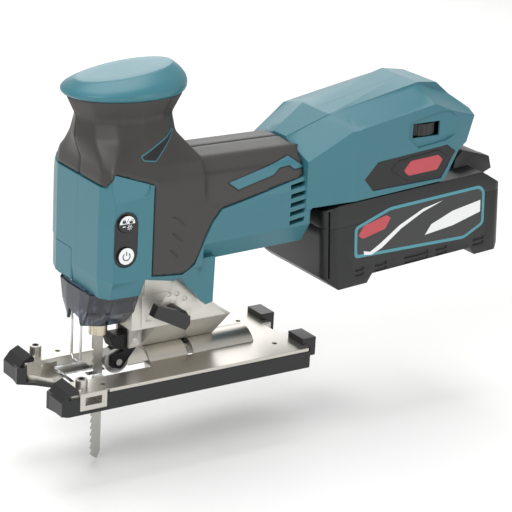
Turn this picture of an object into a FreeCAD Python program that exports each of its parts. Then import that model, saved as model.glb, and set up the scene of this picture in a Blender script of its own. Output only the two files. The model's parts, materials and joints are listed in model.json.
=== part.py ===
import FreeCAD, Part
import math
import os
import re
import sys

import Sketcher

# Cordless body-grip jigsaw, in millimetres. The origin is where the blade's axis
# crosses the underside of the base: +Z up, +X to the battery, -Y the tool's left.

DOC = FreeCAD.newDocument("jigsaw")
SHEET = DOC.addObject("Spreadsheet::Sheet", "Sizes")

SIZES = {
    # fits and gaps
    "gap": 0.3, "run": 0.05, "slide_gap": 0.5, "skin": 2.2, "wall": 4.4, "rear_wall": 2.6,
    # head (the upright column) and its knob
    "head_front": -16, "head_rear": 52, "head_half": 38, "head_low": 66, "head_full": 78,
    "head_top": 134, "shoulder": 144, "neck_low": 158, "waist": 169, "knob_seat": 182,
    "head_flat": 25, "head_cheek": 37, "cheek_set": 4, "panel_back": 13,
    "knob_x": 12.9, "knob_long": 39, "knob_half": 29, "cap_tilt": 6.9,
    "waist_long": 31.2, "waist_half": 22,
    # barrel and rear housing
    "motor_z": 110, "barrel_half": 32, "barrel_top": 142.3, "barrel_low": 77, "barrel_end": 128,
    "barrel_drop": 3.5, "rear_half": 38.5, "rear_front": 124, "rear_peak_x": 214,
    "rear_peak_z": 171, "rear_end": 252, "leg_front": 56.4, "leg_back": 61.4, "leg_low": 53,
    "leg_half": 30,
    # battery, in a frame tilted by tilt about its lower front corner
    "tilt": 4, "pack_x": 140, "pack_z": 48, "pack_long": 139, "pack_half": 38, "pack_tall": 55.5,
    "pack_seam": 41, "pack_wall": 2, "rail_half": 25, "rail_lip": 3, "rail_tall": 7,
    "rail_front": 22, "rail_back": 92, "block_back": 76,
    "controller_back": 52, "hump_long": 29, "cell_r": 9.1, "cell_long": 65, "cell_pitch": 19,
    "latch_travel": 3,
    # base, and the arc on which it tilts
    "base_front": -41, "base_back": 134, "base_half": 37.5, "plate_top": 13, "cover_floor": 2,
    "cover_wall": 1.7, "cover_tall": 10.7, "plate_skin": 3, "bevel_z": 6, "saddle_r": 14.2,
    "saddle_wall": 2.4, "saddle_front": 30, "saddle_back": 105, "window_half": 19,
    "window_front": -19, "window_back": 27, "bolt_x": 59, "bolt_r": 2, "insert_tall": 2.4,
    "boss_x": -26.5, "boss_y": 28.9, "boss_r": 3.6, "fence_x": -22.5, "fence_long": 11,
    "fence_tall": 5,
    # gear housing
    "case_half": 24, "case_wall": 2.5, "case_front": 10.3, "case_low": 39.6, "case_leg_half": 22,
    "case_back": 36, "foot_front": 28, "foot_back": 80,
    # drive
    "gear_module": 0.9, "pinion_teeth": 10, "crank_teeth": 44, "backlash": 0.16, "throw": 13,
    "gear_x": 17, "gear_wide": 7, "crank_pin_r": 3, "weight_travel": 6.5, "stub_r": 4, "stroke": 26,
    "shaft_r": 3, "shaft_back": 120, "rotor_r": 13.5, "rotor_front": 50, "rotor_long": 32,
    "stator_r": 26, "air": 0.6, "fan_x": 90, "fan_r": 23, "bearing_r": 9.5, "bearing_wide": 6,
    "front_bearing_x": 30, "rear_bearing_x": 112,
    # reciprocating rod, blade and their swinging frame
    "rod_r": 4, "rod_low": 33.4, "rod_top": 131.5, "sleeve_r": 5.7, "sleeve_low": 32.8,
    "sleeve_top": 47.5, "blade_thick": 1.2, "blade_half": 3.5, "blade_tip": -50, "tooth_pitch": 4.4,
    "slot_top": 43.8, "bush_wall": 1.4, "frame_front": -10.2, "frame_half": 9,
    "low_bush_z": 75.5, "top_bush_z": 121.5, "bush_tall": 8.5, "trunnion_r": 3, "yoke_x": 7,
    "yoke_thick": 4, "yoke_half": 19, "yoke_boss_z": 86,
    # blade support roller
    "arm_x": 21.5, "arm_z": 26.3, "roller_x": 11.9, "roller_z": 13.7, "roller_r": 8.2,
    "roller_half": 3, "fork_thick": 1.8, "pin_r": 2,
    # levers, covers and controls
    "lever_x": 37, "lever_z": 48, "lever_r": 5, "opener_x": -14.8, "opener_y": 7, "opener_pin_r": 0.6,
    "opener_low": 67.5, "opener_top": 87, "opener_thick": 2.4, "dust_front": -17.5,
    "dust_low": 43, "dust_wall": 1.6, "guard_x": -14.5, "guard_half": 5.5, "wire_r": 0.75,
    "guard_low": 17.3, "button_turn": 6.3, "panel_x": -4.3, "panel_y": 36.5, "panel_z": 104,
    "panel_half": 7.5, "panel_tall": 34, "button_r": 5.1, "button_pitch": 19.4,
    "button_travel": 0.8, "dial_x": 209, "dial_z": 145.5, "dial_r": 13, "dial_thick": 7.5,
}

# places that follow from the sizes above
DERIVED = {
    "crank_z": "(motor_z - gear_module * (pinion_teeth + crank_teeth) / 2)",
    "hump_front": "(pack_long - hump_long)",
    "trunnion_z": "(top_bush_z + bush_tall / 2)",
    "trunnion_top": "(top_bush_z + bush_tall / 2 + 6)",
}

NODES = {}
TURNS = {
    "XY": FreeCAD.Rotation(),
    "XZ": FreeCAD.Rotation(FreeCAD.Vector(1, 0, 0), 90),
    "YZ": FreeCAD.Rotation(FreeCAD.Vector(1, 1, 1), 120),
}
OUT = {"XY": "z", "XZ": "y", "YZ": "x"}
SIDES = {"left": -1, "right": 1}


def fill_sheet():
    for row, (name, number) in enumerate(SIZES.items(), start=1):
        SHEET.set(f"A{row}", name)
        SHEET.set(f"B{row}", str(number))
        SHEET.setAlias(f"B{row}", name)
    DOC.recompute()


def size(name):
    """A driving size as a number, for code that builds a shape itself."""
    return float(SHEET.get(name))


def formula(text):
    """The expression that reads its names from the sheet."""
    def named(match):
        word = match.group()
        if word in DERIVED:
            return formula(DERIVED[word])
        return "Sizes." + word if word in SIZES else word
    return re.sub(r"[A-Za-z_]\w*", named, text)


def bind(thing, **values):
    for key, text in values.items():
        thing.setExpression(key.replace("__", "."), formula(text))
    return thing


def node(label, thing):
    """Registers a finished sub-part under the name of its file."""
    thing.Label = label
    NODES[label] = thing
    return thing


# ---- outlines -----------------------------------------------------------------

def corners(sketch, points):
    """A closed outline whose corners sit at the given expressions."""
    count = len(points)
    first = sketch.GeometryCount
    ring = []
    for turn in range(count):
        angle = 2 * math.pi * turn / count
        ring.append(FreeCAD.Vector(9 * math.cos(angle), 9 * math.sin(angle), 0))
    for turn in range(count):
        sketch.addGeometry(Part.LineSegment(ring[turn], ring[(turn + 1) % count]), False)
    for turn in range(count):
        after = first + (turn + 1) % count
        sketch.addConstraint(Sketcher.Constraint("Coincident", first + turn, 2, after, 1))
    for turn, point in enumerate(points):
        for kind, text in zip(("DistanceX", "DistanceY"), point):
            rule = sketch.addConstraint(Sketcher.Constraint(kind, first + turn, 1, 1.0))
            sketch.setExpression(f"Constraints[{rule}]", formula(text))


def circle(sketch, centre, radius):
    index = sketch.addGeometry(Part.Circle(FreeCAD.Vector(1, 1, 0), FreeCAD.Vector(0, 0, 1), 3))
    for kind, text in zip(("DistanceX", "DistanceY"), centre):
        rule = sketch.addConstraint(Sketcher.Constraint(kind, index, 3, 1.0))
        sketch.setExpression(f"Constraints[{rule}]", formula(text))
    rule = sketch.addConstraint(Sketcher.Constraint("Radius", index, 3.0))
    sketch.setExpression(f"Constraints[{rule}]", formula(radius))


def draw(sketch, outlines):
    for outline in outlines:
        if isinstance(outline, list):
            corners(sketch, outline)
        else:
            circle(sketch, *outline)


def section(name, plane, at, *outlines):
    """A free sketch at a height, for lofts and extrusions."""
    sketch = DOC.addObject("Sketcher::SketchObject", name)
    sketch.Placement = FreeCAD.Placement(FreeCAD.Vector(), TURNS[plane])
    draw(sketch, outlines)
    sketch.setExpression("Placement.Base." + OUT[plane], formula(at))
    return sketch


# ---- solids ---------------------------------------------------------------------

def body_sketch(body, plane, at, outlines):
    sketch = body.newObject("Sketcher::SketchObject", body.Name + "_sketch")
    origin = [face for face in body.Origin.OriginFeatures if face.Role == plane + "_Plane"][0]
    sketch.AttachmentSupport = (origin, [""])
    sketch.MapMode = "FlatFace"
    sketch.setExpression("AttachmentOffset.Base.z", formula(at))
    draw(sketch, outlines)
    return sketch


def prism(name, plane, low, high, *outlines):
    """A padded body between two heights along the plane's own axis."""
    body = DOC.addObject("PartDesign::Body", name)
    start = f"-({high})" if plane == "XZ" else low
    pad = body.newObject("PartDesign::Pad", name + "_pad")
    pad.Profile = body_sketch(body, plane, start, outlines)
    pad.setExpression("Length", formula(f"({high}) - ({low})"))
    return body


def turned(name, *steps):
    """A stepped shaft along X: (from, to, radius) steps, revolved as one profile."""
    body = DOC.addObject("PartDesign::Body", name)
    profile = [(steps[0][0], "0")]
    for start, end, radius in steps:
        profile.append((start, radius))
        profile.append((end, radius))
    profile.append((steps[-1][1], "0"))
    spin = body.newObject("PartDesign::Revolution", name + "_turning")
    sketch = body_sketch(body, "XY", "0", [profile])
    spin.Profile = sketch
    spin.ReferenceAxis = (sketch, ["H_Axis"])
    spin.Angle = 360
    return body


def box(name, low, high):
    solid = DOC.addObject("Part::Box", name)
    names = ("Length", "Width", "Height")
    for index, axis in enumerate("xyz"):
        solid.setExpression("Placement.Base." + axis, formula(low[index]))
        solid.setExpression(names[index], formula(f"({high[index]}) - ({low[index]})"))
    return solid


def cylinder(name, axis, start, radius, length):
    """A round bar from start along +X, +Y or +Z."""
    solid = DOC.addObject("Part::Cylinder", name)
    turn = {"Z": (0, 0, 1, 0), "Y": (1, 0, 0, -90), "X": (0, 1, 0, 90)}[axis]
    solid.Placement = FreeCAD.Placement(
        FreeCAD.Vector(), FreeCAD.Rotation(FreeCAD.Vector(*turn[:3]), turn[3]))
    for index, letter in enumerate("xyz"):
        solid.setExpression("Placement.Base." + letter, formula(start[index]))
    return bind(solid, Radius=radius, Height=length)


def loft(name, sections):
    solid = DOC.addObject("Part::Loft", name)
    solid.Sections = sections
    solid.Solid = True
    solid.Ruled = True
    return solid


def fuse(name, *shapes):
    solid = DOC.addObject("Part::MultiFuse", name)
    solid.Shapes = list(shapes)
    return solid


def cut(name, base, *tools):
    """Base less every tool."""
    solid = DOC.addObject("Part::Cut", name)
    solid.Base = base
    solid.Tool = tools[0] if len(tools) == 1 else fuse(name + "_tools", *tools)
    return solid


def common(name, *shapes):
    solid = DOC.addObject("Part::MultiCommon", name)
    solid.Shapes = list(shapes)
    return solid


def group(name, *shapes):
    """Separate solids that share one node."""
    solid = DOC.addObject("Part::Compound", name)
    solid.Links = list(shapes)
    return solid


def tube(name, axis, start, outer, inner, length):
    bar = cylinder(name + "_bar", axis, start, outer, length)
    bore = cylinder(name + "_bore", axis, start, inner, length)
    return cut(name, bar, bore)


def placed(name, shape, x="0", y="0", z="0", axis=(0, 0, 1), angle="0"):
    """A copy of a shape, turned about an axis and moved: the piece's own Placement."""
    solid = DOC.addObject("Part::Compound", name)
    solid.Links = [shape]
    solid.Placement = FreeCAD.Placement(
        FreeCAD.Vector(), FreeCAD.Rotation(FreeCAD.Vector(*axis), 0.001))
    solid.setExpression("Placement.Rotation.Angle", formula(angle))
    for letter, text in zip("xyz", (x, y, z)):
        solid.setExpression("Placement.Base." + letter, formula(text))
    return solid


def tilted(name, shape):
    """A piece drawn in the battery's frame, set at its place and tilt."""
    return placed(name, shape, "pack_x", "0", "pack_z", (0, -1, 0), "tilt")


# ---- casings ----------------------------------------------------------------------

def head_ring(name, side, inset):
    """Half sections of the head from its lower edge to the knob's seat."""
    def oval(level, along, across):
        ring = []
        for angle in (0, 35, 62, 90, 118, 145, 180):
            ring.append((f"knob_x - ({along} - {inset}) * cos({angle})",
                         f"{side} * ({across} - {inset}) * sin({angle})"))
        return section(f"{name}_{level}", "XY", level, ring)

    def facet(level, front, narrow, back):
        ring = [(f"{front} + {inset}", "0"),
                (f"{front} + {inset}", f"{side} * (head_flat - {inset} / 2)"),
                (f"{front} + cheek_set + {inset}", f"{side} * (head_cheek - {narrow} - {inset})"),
                (f"panel_back - 4 - {inset} / 2", f"{side} * (head_half - {narrow} - {inset})"),
                (f"panel_back + {inset} / 2", f"{side} * (head_half - {narrow} - {inset})"),
                (f"{back} - {inset}", f"{side} * (barrel_half - {narrow} / 2 - {inset})"),
                (f"{back} - {inset}", "0")]
        return section(f"{name}_{level}".replace(" ", ""), "XY", level, ring)

    low = [facet("head_low", "head_front + 1.5", "6", "head_rear - 4"),
           facet("head_full", "head_front", "0", "head_rear"),
           facet("head_top", "head_front", "0", "head_rear"),
           facet("shoulder", "head_front + 1", "5", "head_rear - 1"),
           oval("neck_low", "waist_long + 1.5", "waist_half + 5"),
           oval("waist", "waist_long", "waist_half"),
           oval("knob_seat", "knob_long - 1.2", "knob_half - 1.2")]
    return loft(name, low)


def barrel_ring(name, side, inset):
    """Half sections of the barrel, which narrows to the rear."""
    def slice_at(label, at, rise):
        half = f"{side} * (barrel_half - {inset})"
        ring = [("0", f"barrel_top - {inset}"),
                (f"{side} * (17 - {inset} / 2)", f"barrel_top - 1.5 - {inset}"),
                (f"{side} * (27 - {inset})", f"barrel_top - 9 - {inset} / 2"),
                (half, "motor_z + 6"),
                (half, f"barrel_low + {rise} + 13"),
                (f"{side} * (24 - {inset} / 2)", f"barrel_low + {rise} + {inset}"),
                ("0", f"barrel_low + {rise} - 2 + {inset}")]
        return section(f"{name}_{label}", "YZ", at, ring)

    return loft(name, [slice_at("front", "panel_back - 6", "0"),
                       slice_at("rear", "barrel_end", "barrel_drop")])


def rear_block(name, side, inset):
    """The faceted rear housing: a side profile with its upper edges and flare cut."""
    def across(label, low, high):
        return ("0", high) if side > 0 else (f"-({high})", "0")

    low, high = across("", "0", f"rear_half - {inset}")
    profile = [(f"rear_front + {inset}", "barrel_low + 26"),
               (f"rear_front + {inset}", f"barrel_top + 0.5 - {inset} / 2"),
               (f"rear_front + 26 + {inset} / 2", f"rear_peak_z - 15 - {inset}"),
               ("rear_peak_x", f"rear_peak_z - {inset}"),
               (f"rear_end - 22 - {inset} / 2", f"rear_peak_z - 2 - {inset}"),
               (f"rear_end - {inset}", f"rear_peak_z - 19 - {inset} / 2"),
               (f"rear_end - 7 - {inset}", "rear_peak_z - 38"),
               (f"rear_end - 15 - {inset}", "rear_peak_z - 43"),
               (f"rear_end - 32 - {inset}", "rear_peak_z - 68"),
               ("rear_front + 16", "rear_peak_z - 68")]
    block = prism(name + "_block", "XZ", low, high, profile)

    def crease(label, at, inner, high, low):
        ring = [(f"{side} * ({inner} - {inset} / 2)", "rear_peak_z + 20"),
                (f"{side} * ({inner} - {inset} / 2)", f"rear_peak_z - {high} - {inset}"),
                (f"{side} * (rear_half - {inset} / 2)", f"rear_peak_z - {low} - {inset}"),
                (f"{side} * (rear_half + 12)", f"rear_peak_z - {low} - {inset}"),
                (f"{side} * (rear_half + 12)", "rear_peak_z + 20")]
        return section(f"{name}_{label}", "YZ", at, ring)

    edge = loft(name + "_edge", [crease("near", "rear_front - 10", "4", "34", "47"),
                                 crease("kink", "rear_front + 28", "15", "14.5", "21"),
                                 crease("mid", "rear_peak_x", "19", "1", "9.5"),
                                 crease("far", "rear_end + 10", "14", "18", "29")])
    low, high = across("", "0", "rear_half + 15")
    flare = prism(name + "_flare", "XY", "barrel_low", "rear_peak_z + 10",
                  [("rear_front - 5", f"{side} * (rear_half - 7 - {inset})"),
                   ("rear_front + 33", f"{side} * (rear_half - {inset})"),
                   ("rear_front + 33", f"{side} * (rear_half + 15)"),
                   ("rear_front - 5", f"{side} * (rear_half + 15)")])
    taper = prism(name + "_taper", "XY", "barrel_low", "rear_peak_z + 10",
                  [("rear_peak_x + 14", f"{side} * (rear_half - {inset})"),
                   ("rear_end + 4", f"{side} * (rear_half - 7 - {inset})"),
                   ("rear_end + 4", f"{side} * (rear_half + 15)"),
                   ("rear_peak_x + 14", f"{side} * (rear_half + 15)")])
    return cut(name, block, edge, flare, taper)


def grip_region(name, side):
    """The side outline within which the casing carries its rubber skin."""
    low, high = ("0", "60") if side > 0 else ("-60", "0")
    return prism(name, "XZ", low, high,
                 [("head_front - 20", "head_top"), ("head_front + 2", "head_top"),
                  ("head_front + 6", "head_top + 8"), ("panel_back", "head_top + 0.5"),
                  ("panel_back", "head_full + 1"), ("panel_back + 24", "head_full - 3"),
                  ("panel_back + 33", "head_full + 2"), ("panel_back + 45", "motor_z - 6"),
                  ("panel_back + 51", "motor_z + 1.5"), ("barrel_end + 1", "motor_z + 15"),
                  ("barrel_end + 1", "head_top + 60"), ("head_front - 20", "head_top + 60")])


def rib(name, envelope, front, back, *holes):
    """A cross wall of the casing that carries what passes through its holes."""
    slab = box(name + "_slab", (front, "-60", "0"), (back, "60", "250"))
    return cut(name, common(name + "_full", envelope, slab), *holes)


def panel_place(name, shape, side):
    """Sets a control drawn about the panel's centre on the head's canted cheek."""
    return placed(name, shape, "panel_x", f"{side} * panel_y", "panel_z", (0, 0, 1),
                  f"{side} * button_turn")


def stadium(half, tall):
    """An upright slot outline with eight-sided ends."""
    ring = []
    for turn in range(0, 181, 30):
        ring.append((f"({half}) * cos({turn})",
                     f"({tall}) / 2 - ({half}) * (1 - sin({turn}))"))
    for turn in range(180, 361, 30):
        ring.append((f"({half}) * cos({turn})",
                     f"({half}) * (1 + sin({turn})) - ({tall}) / 2"))
    return ring


def housing_half(label, side):
    """One casing shell, its rubber skin and the openings for what it carries."""
    key = "left" if side < 0 else "right"
    outer = fuse(key + "_outer", head_ring(key + "_head", side, "0"),
                 barrel_ring(key + "_barrel", side, "0"))
    under = fuse(key + "_under", head_ring(key + "_head_under", side, "skin"),
                 barrel_ring(key + "_barrel_under", side, "skin"))
    core = fuse(key + "_core", head_ring(key + "_head_core", side, "wall"),
                barrel_ring(key + "_barrel_core", side, "wall"))
    rear = rear_block(key + "_rear", side, "0")
    rear_core = rear_block(key + "_rear_core", side, "rear_wall")
    skin = common("grip_" + key, cut(key + "_skin", outer, under),
                  grip_region(key + "_region", side))
    node("grip_" + key, cut("grip_" + key + "_trim", skin, rear))
    low, high = ("leg_half - 7.4", "leg_half") if side > 0 else ("-leg_half", "7.4 - leg_half")
    leg = prism(key + "_leg", "XZ", low, high,
                [("panel_back + 16", "head_full + 4"), ("panel_back + 18", "head_full - 6"),
                 ("panel_back + 23", "head_full - 5"), ("leg_front", "leg_low - 1"),
                 ("leg_back", "leg_low"), ("leg_back + 0.5", "head_full + 4")])
    envelope = fuse(key + "_envelope", outer, rear)
    hollow = cut(key + "_hollow", envelope, core, rear_core)
    stator_hole = cylinder(key + "_stator_hole", "X", ("40", "0", "motor_z"), "stator_r + run",
                           "60")
    bearing_hole = cylinder(key + "_bearing_hole", "X", ("90", "0", "motor_z"),
                            "bearing_r + run", "50")
    case_hole = box(key + "_case_hole", ("-20", "-case_half - run", "0"),
                    ("60", "case_half + run", "trunnion_top"))
    ribs = [rib(key + "_stator_rib_a", outer, "rotor_front + 2", "rotor_front + 5", stator_hole),
            rib(key + "_stator_rib_b", outer, "rotor_front + 26", "rotor_front + 29",
                stator_hole),
            rib(key + "_bearing_rib", outer, "rear_bearing_x", "rear_bearing_x + bearing_wide",
                bearing_hole),
            rib(key + "_case_rib", outer, "case_back - 7", "case_back - 4", case_hole)]
    half = box(key + "_half", ("-100", "0", "0"), ("300", "60", "250")) if side > 0 else \
        box(key + "_half", ("-100", "-60", "0"), ("300", "0", "250"))
    body = common(key + "_halved", fuse(key + "_ribbed", hollow, leg, *ribs), half)
    layer = common(key + "_layer", cut(key + "_band", outer, under),
                   grip_region(key + "_region_cut", side))
    layer_front = cut(key + "_layer_trim", layer, rear)
    battery_space = tilted(key + "_battery_space", box(
        key + "_battery_box", ("-8", "-60", "-10"), ("200", "60", "pack_tall + 1")))
    rail_way = tilted(key + "_rail_way", box(
        key + "_rail_box", ("16", "-rail_half - rail_lip - slide_gap", "pack_tall"),
        ("200", "rail_half + rail_lip + slide_gap", "pack_tall + rail_tall + slide_gap")))
    near, far = ("rear_half - 0.9", "rear_half + 4") if side > 0 else \
        ("-rear_half - 4", "0.9 - rear_half")
    badge_seat = prism(key + "_badge_seat", "XZ", near, far, badge_outline("0.1"))
    mouth = fuse(key + "_mouth", box(
        key + "_mouth_front", ("head_front + 5", "-case_half - 3.2", "50"),
        ("case_front + 1", "case_half + 3.2", "head_full + 10")), box(
        key + "_mouth_back", ("case_front", "-case_half - run", "50"),
        ("leg_back + 4", "case_half + run", "head_full + 4.5")))
    belly = prism(key + "_belly", "XZ", "-60", "60",
                  [("panel_back - 4", "45"), ("panel_back - 4", "head_full"),
                   ("panel_back + 18", "head_full - 6"), ("panel_back + 23", "head_full - 5"),
                   ("leg_front", "leg_low - 1"), ("leg_front", "45")])
    panel_hole = panel_place(key + "_panel_hole", prism(
        key + "_panel_cut", "XZ", "-12", "12",
        stadium("panel_half + 0.05", "panel_tall + 0.1")), side)
    tools = [layer_front, battery_space, rail_way, badge_seat, mouth, belly,
             panel_hole]
    if side > 0:
        tools.append(prism("opener_recess", "XY", "opener_low - gap", "opener_top + gap",
                           opener_recess()))
        tools.append(cylinder("opener_pin_bore", "Z", ("opener_x", "opener_y", "60"),
                              "opener_pin_r", "opener_top - 57"))
    else:
        tools.append(box("dial_window", ("dial_x - 10.5", "-rear_half - 5", "dial_z - 4.6"),
                         ("dial_x + 10.5", "-rear_half + 5", "dial_z + 4.6")))
    tools += vents(key, side)
    node(label, cut(label + "_shell", body, *tools))


def vents(key, side):
    """Five slanted cooling slots near the barrel's rear end."""
    slots = []
    for turn in range(5):
        low, high = ("20", "40") if side > 0 else ("-40", "-20")
        base = f"barrel_low + 17.5 + {turn} * 5.6"
        slots.append(prism(f"{key}_vent_{turn}", "XZ", low, high,
                           [("113", base), ("123.5", f"{base} + 1.6"),
                            ("124", f"{base} + 4.4"), ("113.2", f"{base} + 2.8")]))
    return slots


def opener_outline():
    """Plan of the front lever: it wraps the head's right front corner."""
    inner = "head_front + opener_thick"
    return [("head_front", "opener_y"), (inner, "opener_y"), (inner, "head_flat - 1"),
            (f"{inner} + cheek_set", "head_cheek - 1"),
            ("head_front + cheek_set", "head_cheek - 1"), ("head_front", "head_flat")]


def opener_recess():
    """The room for that lever, open to the front and to the side."""
    inner = "head_front + opener_thick + gap"
    return [("head_front - 9", "opener_y - opener_thick / 2 - gap"),
            (inner, "opener_y - opener_thick / 2 - gap"), (inner, "head_flat - 1"),
            (f"{inner} + cheek_set", "head_cheek - 1"), (f"{inner} + cheek_set", "head_half + 9"),
            ("head_front - 9", "head_half + 9")]


def knob():
    """The domed cap that closes the knob."""
    rings = []
    steps = (("0", "1", "1", 0), ("4", "0", "0", 0.3), ("8.2", "2.6", "3", 0.7),
             ("12.2", "8.6", "11.5", 1))
    for turn, (rise, short, slim, lean) in enumerate(steps):
        ring = DOC.addObject("Part::Ellipse", f"cap_ring_{turn}")
        ring.Placement = FreeCAD.Placement(
            FreeCAD.Vector(), FreeCAD.Rotation(FreeCAD.Vector(0, -1, 0), 0.001))
        bind(ring, MajorRadius=f"knob_long - {short}", MinorRadius=f"knob_half - {slim}")
        bind(ring, Placement__Base__x="knob_x", Placement__Base__z=f"knob_seat + {rise}",
             Placement__Rotation__Angle=f"cap_tilt * {lean}")
        rings.append(ring)
    dome = loft("cap_dome", rings)
    dome.Ruled = False
    plug = cylinder("cap_plug", "Z", ("knob_x", "0", "knob_seat - 5"), "waist_half - wall - 3",
                    "6")
    node("knob_cap", fuse("knob_cap_shape", dome, plug))


# ---- battery and rear fittings ------------------------------------------------------

def battery():
    """Two case shells, cells, label frame and the release button, at the pack's tilt."""
    foot = [("9", "0"), ("0", "8"), ("0", "pack_seam"), ("pack_long", "pack_seam"),
            ("pack_long", "8"), ("pack_long - 5", "0"), ("pack_long - 22", "0"),
            ("pack_long - 26", "5.5"), ("35", "5.5"), ("31", "0")]
    lower = prism("lower_case", "XZ", "-pack_half", "pack_half", foot)
    well = box("lower_well", ("3", "-pack_half + pack_wall", "8"),
               ("pack_long - 3", "pack_half - pack_wall", "pack_seam + 1"))
    lower_cut = cut("lower_case_cut", lower, well)
    node("battery_lower_case", tilted("battery_lower_case_set", lower_cut))

    lid = prism("upper_case", "XZ", "-pack_half", "pack_half",
                [("0", "pack_seam"), ("0", "pack_tall - 3"), ("9", "pack_tall"),
                 ("pack_long - 17", "pack_tall"), ("pack_long", "pack_seam + 3"),
                 ("pack_long", "pack_seam")])
    rail = box("rail_web", ("rail_front", "-rail_half", "pack_tall - 1"),
               ("rail_back", "rail_half", "pack_tall + rail_tall"))
    lip = box("rail_wing", ("rail_front", "-rail_half - rail_lip", "pack_tall + rail_tall - 3"),
              ("rail_back", "rail_half + rail_lip", "pack_tall + rail_tall"))
    hump = prism("latch_hump", "XZ", "-22", "22",
                 [("hump_front", "pack_tall - 2"), ("hump_front + 2", "pack_tall + 6"),
                  ("hump_front + 8", "pack_tall + 11"), ("pack_long + 1", "pack_tall + 3"),
                  ("pack_long + 3", "pack_seam + 9"), ("pack_long - 6", "pack_seam + 6")])
    well = box("upper_well", ("3", "-pack_half + pack_wall", "pack_seam - 1"),
               ("pack_long - 14", "pack_half - pack_wall", "pack_tall - 3"))
    slot = box("latch_slot", ("hump_front + 11", "-12.3", "pack_seam + 8.3 - latch_travel - gap"),
               ("pack_long + 9", "12.3", "pack_tall + 5.3"))
    upper = cut("upper_case_cut", fuse("upper_case_full", lid, rail, lip, hump), well, slot)
    node("battery_upper_case", tilted("battery_upper_case_set", upper))

    button = prism("latch_body", "XZ", "-12", "12",
                   [("hump_front + 15", "pack_seam + 8.3"), ("hump_front + 15", "pack_tall + 5"),
                    ("pack_long + 1.5", "pack_tall + 2.4"), ("pack_long + 3.5", "pack_seam + 9.5"),
                    ("pack_long + 2", "pack_seam + 8.3")])
    node("battery_latch_button", tilted("battery_latch_button_set", button))

    cells = []
    for layer in range(2):
        for place in range(6):
            cells.append(cylinder(
                f"cell_{layer}_{place}", "Y",
                (f"pack_long / 2 + ({place} - 2.5) * cell_pitch", "-cell_long / 2",
                 f"8 + cell_r + {layer} * (2 * cell_r + 1) + gap / 2"), "cell_r", "cell_long"))
    node("battery_cells", tilted("battery_cells_set", group("cells", *cells)))
    ends = []
    for turn, face in enumerate(("-pack_half + pack_wall + gap", "pack_half - pack_wall - gap - 2.5")):
        plate = box(f"carrier_plate_{turn}", ("5", face, "8.2"),
                    ("pack_long - 16", f"{face} + 2.5", "pack_tall - 3.3"))
        ends.append(plate)
    low_bed = box("carrier_bed", ("5", "-20", "pack_tall - 6"), ("pack_long - 16", "20",
                                                                  "pack_tall - 3.3"))
    node("cell_carrier", tilted("cell_carrier_set", group("carrier", *ends, low_bed)))

    labels = []
    for turn, face in enumerate(("-pack_half - 0.4", "pack_half")):
        labels.append(prism(f"label_{turn}", "XZ", face, f"{face} + 0.4",
                            [("21", "18.5"), ("21", "39"), ("48", "47"), ("120", "47"),
                             ("124", "43"), ("124", "20"), ("108", "13")]))
    node("battery_labels", tilted("battery_labels_set", group("labels", *labels)))


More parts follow.
